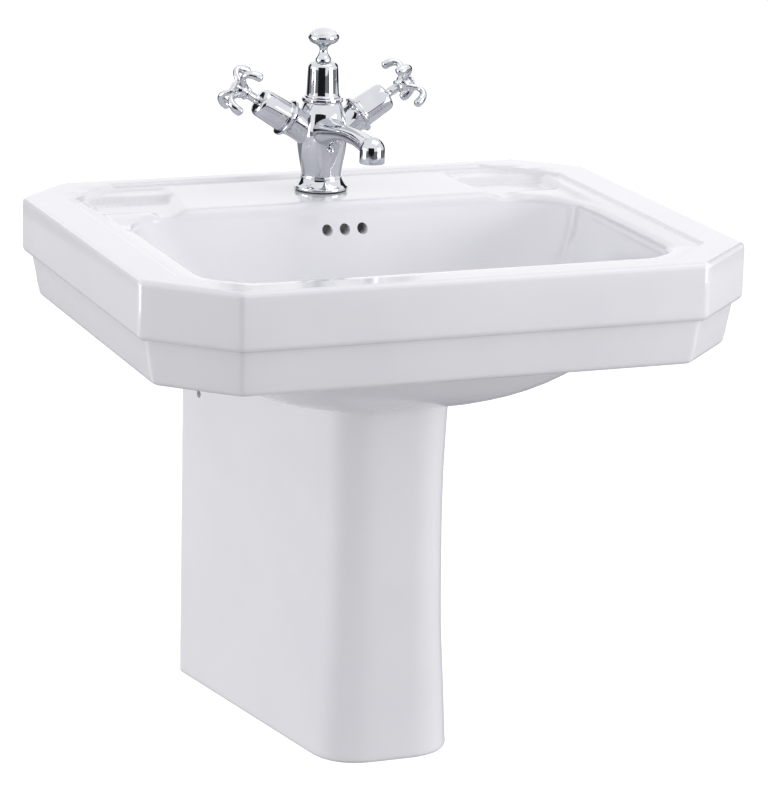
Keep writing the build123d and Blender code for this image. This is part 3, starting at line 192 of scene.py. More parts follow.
# For each slot of the record: the material's name, its shader's settings, two colours and the size of their
# drift, the size and height of the surface's wave, and its least and most roughness with the size of that
# drift. The sizes are in millimetres.
FINISHES = {
    # Vitreous china under a clear glaze: very white, faintly cool, glossy, with the slow wave of poured
    # glaze. Its first colour is the one in the panel.
    "glazed_china": (
        "glazed_vitreous_china",
        GLAZE,
        (None, "#FCFCFD", 160.0),
        (45.0, 0.06),
        (0.09, 0.16, 90.0),
    ),
    # Bright chromium over polished brass: a near mirror, faintly blue, with hazier patches left by wiping
    "chrome": ("polished_chrome_plate", METAL, CHROME, (26.0, 0.01), (0.015, 0.05, 14.0)),
    # The same plate on drawn tube, duller because the tube under it is only rubbed down
    "trap_chrome": ("satin_chromed_brass_tube", METAL, CHROME, (26.0, 0.01), (0.07, 0.16, 14.0)),
    # Bare turned brass: warm yellow and satin
    "brass": ("turned_brass", METAL, ("#C9A868", "#D9BC7E", 6.0), (1.2, 0.01), (0.22, 0.38, 3.0)),
    # Zinc on steel: pale grey and dull, with small spangles
    "steel": ("zinc_plated_steel", METAL, ("#A9ACB0", "#C3C5C9", 5.0), (1.5, 0.01), (0.28, 0.45, 4.0)),
    # Drawn copper: brown red, between bright and tarnished
    "copper": ("drawn_copper_tube", METAL, ("#B87352", "#D08B67", 20.0), (4.0, 0.01), (0.2, 0.36, 9.0)),
    # Rubber: nearly black and matt
    "rubber": ("moulded_black_rubber", RUBBER, ("#1B1B1C", "#262627", 4.0), (0.8, 0.02), (0.6, 0.8, 8.0)),
    # Nylon: off white, with a soft sheen
    "nylon": ("moulded_nylon", NYLON, ("#E3E2DC", "#EDECE7", 8.0), (1.5, 0.01), (0.3, 0.42, 8.0)),
    # Enamel: a warm white, smooth and glossy
    "index_enamel": ("vitreous_enamel", ENAMEL, ("#F2F1EE", "#FAFAF8", 6.0), (5.0, 0.01), (0.06, 0.1, 8.0)),
}
MADE = {}


def finish(slot):
    """The material of one of the record's slots, made once."""
    if slot not in MADE:
        name, settings, (dark, light, drift_mm), wave, rough = FINISHES[slot]
        if dark is None:
            dark = "#%02X%02X%02X" % tuple(round(255 * c) for c in bpy.context.scene.basin_finish.china)
        MADE[slot] = surface(name, settings, (dark, light, drift_mm), wave, rough)
    return MADE[slot]


# Edges flatter than this many degrees look smooth
SMOOTH = {"chrome": 32.0, "glazed_china": 40.0}
SMOOTH_ELSEWHERE = 35.0


def dress(piece, slot, body, *nodes):
    """Smooths a finished piece, gives it its material and body, and stands it in for its nodes."""
    only(piece)
    bpy.ops.object.shade_smooth_by_angle(angle=radians(SMOOTH.get(slot, SMOOTH_ELSEWHERE)))
    piece.data.materials.clear()
    piece.data.materials.append(finish(slot))
    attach(piece, body)
    if nodes:
        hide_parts(*nodes)
    return piece


# Shaping


def only(*pieces):
    """Leaves just these objects selected, the first of them active."""
    if bpy.context.object and bpy.context.object.mode != "OBJECT":
        bpy.ops.object.mode_set(mode="OBJECT")
    bpy.ops.object.select_all(action="DESELECT")
    for piece in pieces:
        piece.select_set(True)
    if pieces:
        bpy.context.view_layer.objects.active = pieces[0]


def pick(piece, indices):
    """Leaves just these vertices selected in the mesh that is being edited."""
    bpy.ops.mesh.select_all(action="DESELECT")
    mesh = bmesh.from_edit_mesh(piece.data)
    mesh.verts.ensure_lookup_table()
    for i in indices:
        mesh.verts[i].select = True
    mesh.select_flush(True)


def skin(name, rings, closed=False):
    """A mesh through rings of points in millimetres: a circle is extruded ring by ring and shaped to each."""
    only()
    count = len(rings[0])
    bpy.ops.mesh.primitive_circle_add(vertices=count, radius=1.0)
    piece = bpy.context.object
    piece.name = name
    piece.data.name = name
    for vertex, point in zip(piece.data.vertices, rings[0]):
        vertex.co = Vector(point) * MM
    bpy.ops.object.mode_set(mode="EDIT")
    bpy.ops.mesh.select_all(action="SELECT")
    first = list(range(count))
    last = first
    for ring in rings[1:]:
        bpy.ops.mesh.extrude_edges_move()
        mesh = bmesh.from_edit_mesh(piece.data)
        mesh.verts.ensure_lookup_table()
        mesh.verts.index_update()
        before = {i: k for k, i in enumerate(last)}
        place = {}
        for i in range(len(mesh.verts) - count, len(mesh.verts)):
            for edge in mesh.verts[i].link_edges:
                k = before.get(edge.other_vert(mesh.verts[i]).index)
                if k is not None:
                    place[k] = mesh.verts[i]
        last = [place[k].index for k in range(count)]
        for k, point in enumerate(ring):
            place[k].co = Vector(point) * MM
    bmesh.update_edit_mesh(piece.data)
    if closed:
        pick(piece, first + last)
        bpy.ops.mesh.bridge_edge_loops()
    else:
        for loop in (first, last):
            pick(piece, loop)
            bpy.ops.mesh.edge_face_add()
    bpy.ops.mesh.select_all(action="SELECT")
    bpy.ops.mesh.remove_doubles(threshold=WELD)
    bpy.ops.mesh.normals_make_consistent(inside=False)
    bpy.ops.object.mode_set(mode="OBJECT")
    return piece


def softened(points, rounds, steps=5):
    """An outline with its inner corners drawn round over a length, one for all or one for each."""
    most = 0.49
    least = 0.02
    made = [points[0]]
    for i in range(1, len(points) - 1):
        here = Vector(points[i])
        before = Vector(points[i - 1]) - here
        after = Vector(points[i + 1]) - here
        wanted = rounds[i] if isinstance(rounds, tuple) else rounds
        reach = min(wanted, before.length * most, after.length * most)
        if reach < least:
            made.append(tuple(here))
            continue
        start = here + before.normalized() * reach
        end = here + after.normalized() * reach
        for k in range(steps + 1):
            made.append(curve(start, here, end, k / steps))
    made.append(points[-1])
    return made


def curve(start, corner, end, t):
    """A point of the curve that leaves start and meets end along the lines to a corner."""
    return tuple((1 - t) ** 2 * start + 2 * t * (1 - t) * corner + t * t * end)


def through(a, b, c, d, t):
    """The value at a share of the way from b to c, on a smooth curve through four values."""
    return 0.5 * (2 * b + (c - a) * t + (2 * a - 5 * b + 4 * c - d) * t * t + (3 * b - a - 3 * c + d) * t**3)


def flowing(points, steps=8):
    """A smooth curve through points of any number of values."""
    made = []
    last = len(points) - 1
    for i in range(last):
        near = [points[max(0, min(last, i + k))] for k in (-1, 0, 1, 2)]
        for k in range(steps):
            made.append(tuple(through(*values, k / steps) for values in zip(*near)))
    made.append(tuple(points[-1]))
    return made


def quarter(steps, first=0):
    """Angles up to a right angle in even steps."""
    return [QUARTER * k / steps for k in range(first, steps + 1)]


def hollow(radius, inset, z):
    """Insets and heights round a quarter that starts level, set in by its radius, and ends upright."""
    return [(inset + radius * (1 - sin(a)), z + radius * (1 - cos(a))) for a in quarter(5, 1)]


def dome(radius, rise, height):
    """An outline's quarter round, from its widest point inwards as it rises above a height."""
    return [(radius * cos(radians(a)), height + rise * sin(radians(a))) for a in range(0, 90, 6)]


def shoulder(radius, inward, rise, height):
    """An outline's rounded shoulder, drawn inwards from a radius as it rises above a height."""
    turns = [radians(a) for a in range(0, 91, 10)]
    return [(radius - inward * (1 - cos(a)), height + rise * sin(a)) for a in turns]


def axis_frame(origin, axis, up=(0, 0, 1)):
    """Origin with two directions square to an axis, and the axis itself."""
    along = Vector(axis).normalized()
    across = Vector(up).cross(along)
    if across.length < 1e-6:
        across = Vector((1, 0, 0))
    across.normalize()
    return Vector(origin), across, along.cross(across), along


def turned(name, outline, origin, axis, segments=72, closed=False):
    """A turned piece: an outline of (radius, height) in millimetres spun about an axis."""
    start, across, other, along = axis_frame(origin, axis)
    turns = [2 * pi * k / segments for k in range(segments)]
    rings = []
    for radius, height in outline:
        middle = start + along * height
        radius = max(radius, ON_AXIS)
        rings.append([middle + (across * cos(a) + other * sin(a)) * radius for a in turns])
    return skin(name, rings, closed=closed)


def tube(name, path, sizes, segments=32, side=(1, 0, 0)):
    """A tube along a path, with a half width and half height at each point, and closed ends."""
    turns = [2 * pi * k / segments for k in range(segments)]
    rings = []
    for i, (point, (wide, high)) in enumerate(zip(path, sizes)):
        before = Vector(path[max(0, i - 1)])
        after = Vector(path[min(len(path) - 1, i + 1)])
        along = (after - before).normalized()
        across = (Vector(side) - along * Vector(side).dot(along)).normalized()
        other = along.cross(across)
        rings.append([Vector(point) + across * cos(a) * wide + other * sin(a) * high for a in turns])
    return skin(name, rings)


def joined(name, *pieces):
    """Several meshes as one piece."""
    only(*pieces)
    bpy.ops.object.join()
    piece = bpy.context.object
    piece.name = name
    piece.data.name = name
    return piece


def cut(piece, *cutters):
    """Cuts other meshes out of a piece and deletes them."""
    for cutter in cutters:
        only(piece)
        step = piece.modifiers.new("cut", "BOOLEAN")
        step.object = cutter
        step.operation = "DIFFERENCE"
        step.solver = "MANIFOLD"
        bpy.ops.object.modifier_apply(modifier=step.name)
        only(cutter)
        bpy.ops.object.delete()
    return piece


# Basin outlines, all with the same count of points from the middle of the right side


def structured(sides, corners):
    """A ring from the middle of its right side: four straight sides with the corners' points between them."""
    ring = []
    for (start, end), corner, count in zip(sides, corners, SIDE_POINTS):
        ring += [between(start, end, k / (count - 1)) for k in range(count)]
        ring += corner
    half = SIDE_POINTS[0] // 2
    return ring[half:] + ring[:half]


def bent(before, corner, after, reach, count):
    """Points round a corner, from a length before it to a length after it."""
    here = Vector(corner)
    start = here + (Vector(before) - here).normalized() * reach
    end = here + (Vector(after) - here).normalized() * reach
    return [curve(start, here, end, k / (count - 1)) for k in range(count)]


def rim_ring(side, front, back, corner):
    """The eight-sided outline, drawn in by these amounts, with its corners rounded."""
    half = RIM_HALF - side
    near = RIM_DEPTH - front
    front_leg = FRONT_CUT - (side + front) * (1 - 1 / sqrt(2))
    back_leg = BACK_CUT + (sqrt(2) - 1) * side - back * (1 - 1 / sqrt(2))
    points = [
        (half, -near + front_leg),
        (half, -back - back_leg),
        (half - back_leg, -back),
        (-half + back_leg, -back),
        (-half, -back - back_leg),
        (-half, -near + front_leg),
        (-half + front_leg, -near),
        (half - front_leg, -near),
    ]
    reach = corner * tan(radians(22.5))
    wall_corners = (2, 3) if back < 0.5 else ()
    bends = []
    for i, point in enumerate(points):
        length = 0.4 if i in wall_corners else reach
        bends.append(bent(points[i - 1], point, points[(i + 1) % 8], length, BEND_POINTS))
    middle = CORNER_POINTS - 2 * (BEND_POINTS - 1)
    sides, corners = [], []
    for i in (0, 2, 4, 6):
        first, second = bends[(i + 1) % 8], bends[(i + 2) % 8]
        sides.append((bends[i][-1], first[0]))
        run = [between(first[-1], second[0], (k + 1) / (middle + 1)) for k in range(middle)]
        corners.append(first[1:] + run + second[:-1])
    return structured(sides, corners)


def bowl_ring(half, back, front, back_round, front_round, share=0.0):
    """A rounded rectangle of the bowl. As share goes to one its points spread evenly along it."""
    half_back, half_front = half - back_round, half - front_round
    sides = [
        ((half, -front + front_round), (half, -back - back_round)),
        ((half_back, -back), (-half_back, -back)),
        ((-half, -back - back_round), (-half, -front + front_round)),
        ((-half_front, -front), (half_front, -front)),
    ]
    centres = [
        (half_back, -back - back_round, back_round, 0),
        (-half_back, -back - back_round, back_round, 90),
        (-half_front, -front + front_round, front_round, 180),
        (half_front, -front + front_round, front_round, 270),
    ]
    corners = []
    for x, y, radius, start in centres:
        turns = [radians(start + 90 * (k + 1) / (CORNER_POINTS + 1)) for k in range(CORNER_POINTS)]
        corners.append([(x + radius * cos(a), y + radius * sin(a)) for a in turns])
    ring = structured(sides, corners)
    if share <= 0:
        return ring
    lengths = [0.0]
    for a, b in zip(ring, ring[1:] + ring[:1]):
        lengths.append(lengths[-1] + (Vector(b) - Vector(a)).length)
    total = lengths[-1]
    made, j = [], 0
    for i in range(len(ring)):
        wanted = mix(lengths[i], total * i / len(ring), share)
        while lengths[j + 1] < wanted and j < len(ring) - 1:
            j += 1
        while lengths[j] > wanted and j > 0:
            j -= 1
        span = max(lengths[j + 1] - lengths[j], 1e-9)
        made.append(between(ring[j], ring[(j + 1) % len(ring)], (wanted - lengths[j]) / span))
    return made


# How far the deck's moulded step lies in from the sides, the wall, the front, and the front and back cuts
STEP_FROM_SIDE = 39.0
STEP_FROM_WALL = 17.0
STEP_FROM_FRONT = 27.0
STEP_FROM_FRONT_CUT = 33.0
STEP_FROM_BACK_CUT = 47.5
STEP_DROP = 3.0
STEP_WIDE = 4.5
DECK_FALL = 1.8


def deck_level(x, y):
    """Height of the deck against the rim's top: the moulding, the tap platform and the soap shelves."""
    side = abs(x)
    from_side = RIM_HALF - side
    from_front = RIM_DEPTH + y
    inset = min(
        from_side - STEP_FROM_SIDE,
        -y - STEP_FROM_WALL,
        from_front - STEP_FROM_FRONT,
        (from_side + from_front - FRONT_CUT) / sqrt(2) - STEP_FROM_FRONT_CUT,
        (from_side - y - BACK_CUT) / sqrt(2) - STEP_FROM_BACK_CUT,
    )
    level = -STEP_DROP * ease(0.0, STEP_WIDE, inset)
    level -= DECK_FALL * ease(6.0, 30.0, inset) * ease(150.0, 190.0, -y)
    # A shelf lies between the platform's bevel and the side, widens forwards, and fades out beside the bowl
    flare = 22.0 * ease(40.0, 150.0, -y)
    shelf = ease(148.0 + flare * 0.5, 157.0 + flare, side) * (1 - ease(243.0, 251.0, side))
    fade = 1 - ease(165.0, 240.0, -y)
    # It goes down in two steps, and rises to a lip at its front
    depth = 1.8 * ease(34.0, 39.0, -y) + 5.2 * ease(60.0, 71.0, -y)
    lip = 3.6 * ease(118.0, 128.0, -y) * ease(186.0, 199.0, side)
    return level - shelf * fade * (depth - lip)


def on_deck(ring):
    """A ring of plan points at the deck's own height."""
    return [(x, y, RIM_Z + deck_level(x, y)) for x, y in ring]


def put(ring, z):
    """A ring of plan points at a height."""
    return [(x, y, z) for x, y in ring]


def set_out(station, out, down=0.0):
    """A station of the bowl, set out by a length on every side and further down."""
    drop, half, back, front, back_round, front_round = station
    return (drop + down, half + out, back - out, front + out, back_round + out, front_round + out)


# China under the deck
RIM_CORNER = 10.0
CHINA = 10.0
UNDER_DECK = 22.0
# How far the deck's step reaches in at its crest and at its foot, from the side, the front and the wall
CREST_IN = (38.0, 26.0, 16.0, RIM_CORNER)
STEP_FOOT_IN = (45.0, 33.0, 23.0, 9.0)
# The bowl's edge comes down past its rounding by this share of the round
EDGE_FALL = 1.15
# The waste's seat in the bowl and the boss below it: radius and drop below the rim
WASTE_SEAT = ((33.5, 165.3), (33.5, 168.0), (23.0, 168.0), (23.0, 187.0))
WASTE_BOSS = ((43.0, 187.0), (44.0, 186.0), (44.0, 176.0))
# The apron's inside, from the deck down: inset and height
APRON_BACK = 14.0
APRON_INSIDE = ((27.1, RIM_Z - UNDER_DECK), (27.1, 0.0), (27.1, APRON_Z + 3.0), (24.5, APRON_Z))
# The apron's outside, from its foot up to the ledge under the rim: the foot's round, then inset and height
APRON_FOOT_IN = 15.1
APRON_FOOT = 7.0
APRON_OUTSIDE = ((13.9, -20.0), (11.4, -4.0), (9.2, 9.0), (8.2, 12.2), (7.2, 13.6))
LEDGE_Z = 13.6
LEDGE_ROUND = 6.2
TAP_HOLE_RADIUS = 17.5
BOLT_HOLE_RADIUS = 7.0
# Overflow duct: half its width, its china, and its front, back and height at each level. The room inside it
# has the same middle levels.
DUCT_HALF = 36.5
DUCT_WALL = 3.5
DUCT_MIDDLE = ((-171.0, -150.0, -22.0), (-186.0, -165.0, -62.0))
DUCT = ((-142.5, -121.0, 58.0), *DUCT_MIDDLE, (-198.0, -181.0, -82.0))
DUCT_ROOM = ((-142.5, -121.0, 54.5), *DUCT_MIDDLE, (-196.0, -179.0, -78.5))


def duct_form(name, levels, wall):
    """A four-sided form down the back of the bowl, drawn in by a wall."""
    half = DUCT_HALF - wall
    rings = []
    for front, back, z in levels:
        near, far = front + wall, back - wall
        rings.append(put([(half, far), (-half, far), (-half, near), (half, near)], z))
    return skin(name, rings)


def overflow_holes(name, end):
    """Cutters for the three overflow holes, from inside the bowl back to an end."""
    outline = [(OVERFLOW_RADIUS, -190.0), (OVERFLOW_RADIUS, end)]
    return [turned(name, outline, (x, 0, OVERFLOW_Z), INTO_WALL, 40) for x in OVERFLOW_XS]


class BASIN_OT_china(bpy.types.Operator):
    """Builds the washbasin's china body with its bowl, deck mouldings, soap shelves and holes"""

    bl_idname = "basin.china"
    bl_label = "China basin"

    def deck(self, edge, opening):
        """Rings over the rim's rounded edge and across the deck to the bowl's opening."""
        rings = []
        for a in quarter(5):
            inset = edge * (1 - cos(a))
            plan = rim_ring(inset, inset, min(inset, 3.0), RIM_CORNER)
            rings.append(put(plan, RIM_Z - edge * (1 - sin(a))))
        flat = rim_ring(edge + 1, edge + 1, 4.0, RIM_CORNER)
        crest = rim_ring(*CREST_IN)
        foot = rim_ring(*STEP_FOOT_IN)
        rings += [put(blended(flat, crest, t), RIM_Z) for t in (0.0, 0.5, 1.0)]
        rings += [on_deck(blended(crest, foot, k / 7)) for k in range(1, 8)]
        rings += [on_deck(blended(foot, opening, k / 48)) for k in range(1, 49)]
        return rings

    def bowl(self, roll, opening):
        """Rings over the bowl's rounded edge, down its inside, and into the waste's seat."""
        rings = []
        first = BOWL_STATIONS[0]
        start = (first[0] + EDGE_FALL * roll,) + first[1:]
        start_z = RIM_Z - first[0] - EDGE_FALL * roll
        edge = on_deck(opening)
        for a in quarter(8, 1)[:-1]:
            ring = bowl_ring(*set_out(first, roll * (1 - sin(a)))[1:])
            rings.append([(x, y, mix(z, start_z, 1 - cos(a))) for (x, y), (_, _, z) in zip(ring, edge)])
        for k, (drop, *shape) in enumerate(flowing([start, *BOWL_STATIONS[1:]], 8)):
            rings.append(put(bowl_ring(*shape, share=ease(16, 40, k)), RIM_Z - drop))
        count = len(opening)
        turns = [2 * pi * k / count for k in range(count)]
        for radius, drop in WASTE_SEAT + WASTE_BOSS:
            rings.append(put([(radius * cos(a), WASTE_Y + radius * sin(a)) for a in turns], RIM_Z - drop))
        return rings

    def underside(self):
        """Rings up the outside of the bowl, down the inside of the apron, and up its outside to the rim."""
        rings = []
        outer = [set_out(station, CHINA, CHINA) for station in BOWL_STATIONS]
        for k, (drop, *shape) in enumerate(flowing(outer[::-1], 4)):
            rings.append(put(bowl_ring(*shape, share=1 - ease(0, 12, k)), RIM_Z - max(drop, UNDER_DECK)))
        rings += [put(rim_ring(inset, inset, APRON_BACK, RIM_CORNER), z) for inset, z in APRON_INSIDE]
        foot = hollow(APRON_FOOT, APRON_FOOT_IN, APRON_Z)
        outside = [*foot, *APRON_OUTSIDE, *hollow(LEDGE_ROUND, 0.0, LEDGE_Z)]
        return rings + [put(rim_ring(inset, inset, 0.0, RIM_CORNER), z) for inset, z in outside]

    def execute(self, context):
        sizes = context.scene.basin_sizes
        roll = sizes.bowl_round
        opening = bowl_ring(*set_out(BOWL_STATIONS[0], roll)[1:])
        rings = self.deck(sizes.rim_round, opening) + self.bowl(roll, opening) + self.underside()
        basin = skin("basin_china", rings, closed=True)
        tap_hole = [(TAP_HOLE_RADIUS, 40.0), (TAP_HOLE_RADIUS, 80.0)]
        tap_hole = turned("tap_hole", tap_hole, (0, TAP_Y, 0), UP, 64)
        bolt_hole = [(BOLT_HOLE_RADIUS, -40.0), (BOLT_HOLE_RADIUS, 20.0)]
        overflow = overflow_holes("overflow", -138.0)
        bolt_holes = [turned("bolt_hole", bolt_hole, (x, 0, 0), INTO_WALL, 40) for x in BOLT_XS]
        cut(basin, tap_hole, *overflow, *bolt_holes)
        dress(basin, "glazed_china", "root", "basin")
        # Overflow duct down the back of the bowl, dark inside because only the three holes light it
        duct = duct_form("overflow_duct", DUCT, 0.0)
        room = duct_form("duct_room", DUCT_ROOM, DUCT_WALL)
        cut(duct, room, *overflow_holes("duct_hole", -136.0))
        dress(duct, "glazed_china", "root")
        return {"FINISHED"}


# Half pedestal: half its width at the wall and at the front, its depth, its front rounds and its china
PEDESTAL_BACK_HALF = 117.4
PEDESTAL_FRONT_HALF = 56.0
PEDESTAL_DEPTH = 310.3
PEDESTAL_ROUND = 40.0
PEDESTAL_WALL = 9.0
PEDESTAL_FOOT_Z = -466.5
# How far its front swells at each height, and over the small bevel of its top: swell, inset and drop
PEDESTAL_STATIONS = [(-34.5, 6.5), (-145.0, 1.3), (-220.0, 0.0), (-330.0, 1.8), (-400.0, 5.5)]
PEDESTAL_STATIONS.append((PEDESTAL_FOOT_Z, 9.0))
PEDESTAL_TOP = ((6.5, 2.0, -34.5), (6.5, 0.6, -35.1), (6.4, 0.0, -36.5))
BELOW_TOP_Z = -38.0
FOOT_SWELL = 8.9
# Room between the pedestal's top edge and the bowl's belly, with the belly's china
BELLY_OUT = 10.4
# Its sides lean in by this share of the way to the front
LEAN = (PEDESTAL_BACK_HALF - PEDESTAL_FRONT_HALF) / PEDESTAL_DEPTH
SIDE_SCREW_IN = 33.0
SIDE_SCREW_Z = -153.0
# The side screws and their sunk holes: radius and height along the screw
SUNK_HOLE = [(2.5, -14.0), (2.5, -4.4), (3.9, -4.4), (3.9, 6.0)]
SIDE_SCREW = [
    (ON_AXIS, -17.0),
    (1.9, -15.0),
    (1.9, -4.3),
    (3.4, -4.3),
    (3.4, -3.5),
    (2.4, -2.6),
    (ON_AXIS, -2.4),
]
# The angle plates: length of each leg, thickness, and the room beside the pedestal's inside
PLATE_WALL_LEG = 40.0
PLATE_SIDE_LEG = 51.0
PLATE_THICK = 2.5
PLATE_ROOM = 0.9
PLATE_LEVELS = (-180.0, -136.0)


def pedestal_ring(swell, inset):
    """The half pedestal's plan as one closed line: round the outside, and back along the inside."""

    def outline(inward):
        back = PEDESTAL_BACK_HALF - inward
        near = PEDESTAL_FRONT_HALF + swell - inward
        front = PEDESTAL_DEPTH + swell - inward
        reach = (PEDESTAL_ROUND + swell - inward) * 0.93
        points = [(-back, 0.0), (-near, -front), (near, -front), (back, 0.0)]
        left = bent(*points[:3], reach, 26)
        right = bent(*points[1:], reach, 26)
        line = [between(points[0], left[0], k / 30) for k in range(30)] + left
        line += [between(left[-1], right[0], k / 12) for k in range(1, 12)] + right
        return line + [between(right[-1], points[3], k / 30) for k in range(1, 31)]

    return outline(inset) + outline(PEDESTAL_WALL)[::-1]


class BASIN_OT_half_pedestal(bpy.types.Operator):
    """Builds the half pedestal's waisted shell, its top cut to the bowl's belly, its screws and plates"""

    bl_idname = "basin.half_pedestal"
    bl_label = "Half pedestal"

    def fitting(self, side):
        """The sunk hole in one side, its screw, and the angle plate that the screw holds."""
        seat = (side * (PEDESTAL_BACK_HALF - SIDE_SCREW_IN * LEAN), -SIDE_SCREW_IN, SIDE_SCREW_Z)
        out = (side, -LEAN, 0)
        sunk = turned("side_hole", SUNK_HOLE, seat, out, 32)
        screw = turned("side_screw", SIDE_SCREW, seat, out, 32)
        corner = PEDESTAL_BACK_HALF - PEDESTAL_WALL - PLATE_ROOM
        leg = (corner - PLATE_SIDE_LEG * LEAN, -PLATE_SIDE_LEG)
        plan = [
            (corner - PLATE_WALL_LEG, 0.0),
            (corner, 0.0),
            leg,
            (leg[0] - 2.45, leg[1] + 0.45),
            (corner - 3.0, -PLATE_THICK),
            (corner - PLATE_WALL_LEG, -PLATE_THICK),
        ]
        plan = [(side * x, y) for x, y in plan][::side]
        plate = skin("angle_plate", [put(plan, z) for z in PLATE_LEVELS])
        side_hole = turned("plate_hole", [(2.6, -14.0), (2.6, -6.0)], seat, out, 32)
        wall_seat = (side * WALL_SCREW_XS[1], 0, WALL_SCREW_Z)
        wall_hole = turned("wall_hole", [(3.4, -6.0), (3.4, 6.0)], wall_seat, INTO_WALL, 32)
        return sunk, screw, cut(plate, side_hole, wall_hole)

    def execute(self, context):
        foot = context.scene.basin_sizes.foot_round
        rings = [put(pedestal_ring(swell, inset), z) for swell, inset, z in PEDESTAL_TOP]
        for z, swell in flowing(PEDESTAL_STATIONS, 10):
            if BELOW_TOP_Z > z > PEDESTAL_FOOT_Z + foot:
                rings.append(put(pedestal_ring(swell, 0.0), z))
        for a in quarter(5):
            plan = pedestal_ring(FOOT_SWELL, foot * (1 - cos(a)))
            rings.append(put(plan, PEDESTAL_FOOT_Z + foot * (1 - sin(a))))
        shell = skin("half_pedestal_china", rings)
        belly = flowing([set_out(station, BELLY_OUT) for station in BOWL_STATIONS], 6)
        form = []
        for k, (drop, *shape) in enumerate(belly):
            form.append(put(bowl_ring(*shape, share=ease(12, 30, k)), RIM_Z - BELLY_OUT - drop))
        belly_form = skin("belly_form", form)
        sunk, screws, plates = zip(*[self.fitting(side) for side in (-1, 1)])
        cut(shell, belly_form, *sunk)
        dress(shell, "glazed_china", "root", "semi_pedestal")
        dress(joined("side_screws", *screws), "steel", "root", "pedestal_side_screws")
        dress(joined("angle_plates", *plates), "steel", "root", "pedestal_brackets")
        return {"FINISHED"}


# Tap body: outlines of (radius, height above its foot)
ROD_BORE = 3.4
TAP_FOOT = [(16.8, 0.0), (27.0, 0.0), (27.0, 2.6), (26.2, 3.4)]
TAP_NECK = [(26.2, 3.4), (24.2, 5.2), (21.9, 8.6), (20.9, 11.6)]
TAP_BEAD = [(21.3, 12.0), (21.4, 12.6), (21.2, 13.2), (20.4, 13.6)]
TAP_BARREL = [(20.1, 13.9), (20.8, 20.0), (22.4, 29.0), (24.2, 40.0), (25.2, 50.0), (25.4, 60.0)]
TAP_BARREL += [(24.4, 70.0), (22.4, 79.0), (19.9, 86.0), (18.9, 88.4)]
TAP_RING = [(18.9, 88.4), (20.9, 89.6), (20.9, 93.6), (18.6, 94.0), (ROD_BORE, 94.0)]
TAP_BORE = [(ROD_BORE, 60.0), (ON_AXIS, 60.0)]
# Arms and their collars: radius, and distance out from the tap's middle
TAP_ARM = [(16.4, 8.0), (15.2, 24.0), (14.9, 34.0), (15.6, 40.0), (17.4, 43.4)]
TAP_COLLAR = [(17.4, 43.4), (18.4, 44.2), (19.6, 44.4), (19.6, 47.4), (16.6, 47.5)]
TAP_COLLAR += [(10.6, 47.5), (10.6, 30.0), (ON_AXIS, 30.0)]
# Spout: distance out, height above the foot, half width, half height
SPOUT = (
    (12.0, 61.0, 17.5, 16.5),
    (24.0, 62.0, 16.5, 14.5),
    (36.0, 64.0, 13.4, 11.6),
    (52.0, 66.6, 10.6, 9.4),
    (72.0, 69.0, 9.2, 8.4),
    (94.0, 70.0, 8.8, 8.2),
    (112.0, 69.6, 9.0, 8.5),
    (126.0, 68.6, 9.8, 9.2),
    (136.0, 67.4, 10.8, 10.0),
    (142.0, 66.6, 11.4, 10.4),
)
NOZZLE_Y = -226.0
NOZZLE = [(9.6, 64.0), (9.6, 53.4), (10.2, 53.0), (12.0, 53.0), (12.5, 53.6), (12.4, 60.0)]
NOZZLE_DOME = 12.4
NOZZLE_DOME_HEIGHT = 66.5
# The bead under the spout's root
FINIAL = 3.2
FINIAL_PLACE = (0, TAP_Y - 27.9, TAP_FOOT_Z + 43.0)
FINIAL_AXIS = (0, -0.5, -1)
# The bell over the tap's middle
TOWER_SKIRT = [(18.0, 94.0), (18.0, 95.4), (17.0, 96.0)]
TOWER_WALL = [(17.0, 96.0), (16.4, 98.0), (16.0, 106.0), (15.6, 116.0), (15.2, 124.0)]
TOWER_BORE = [(6.1, 130.0), (6.1, 118.0), (ROD_BORE, 118.0)]


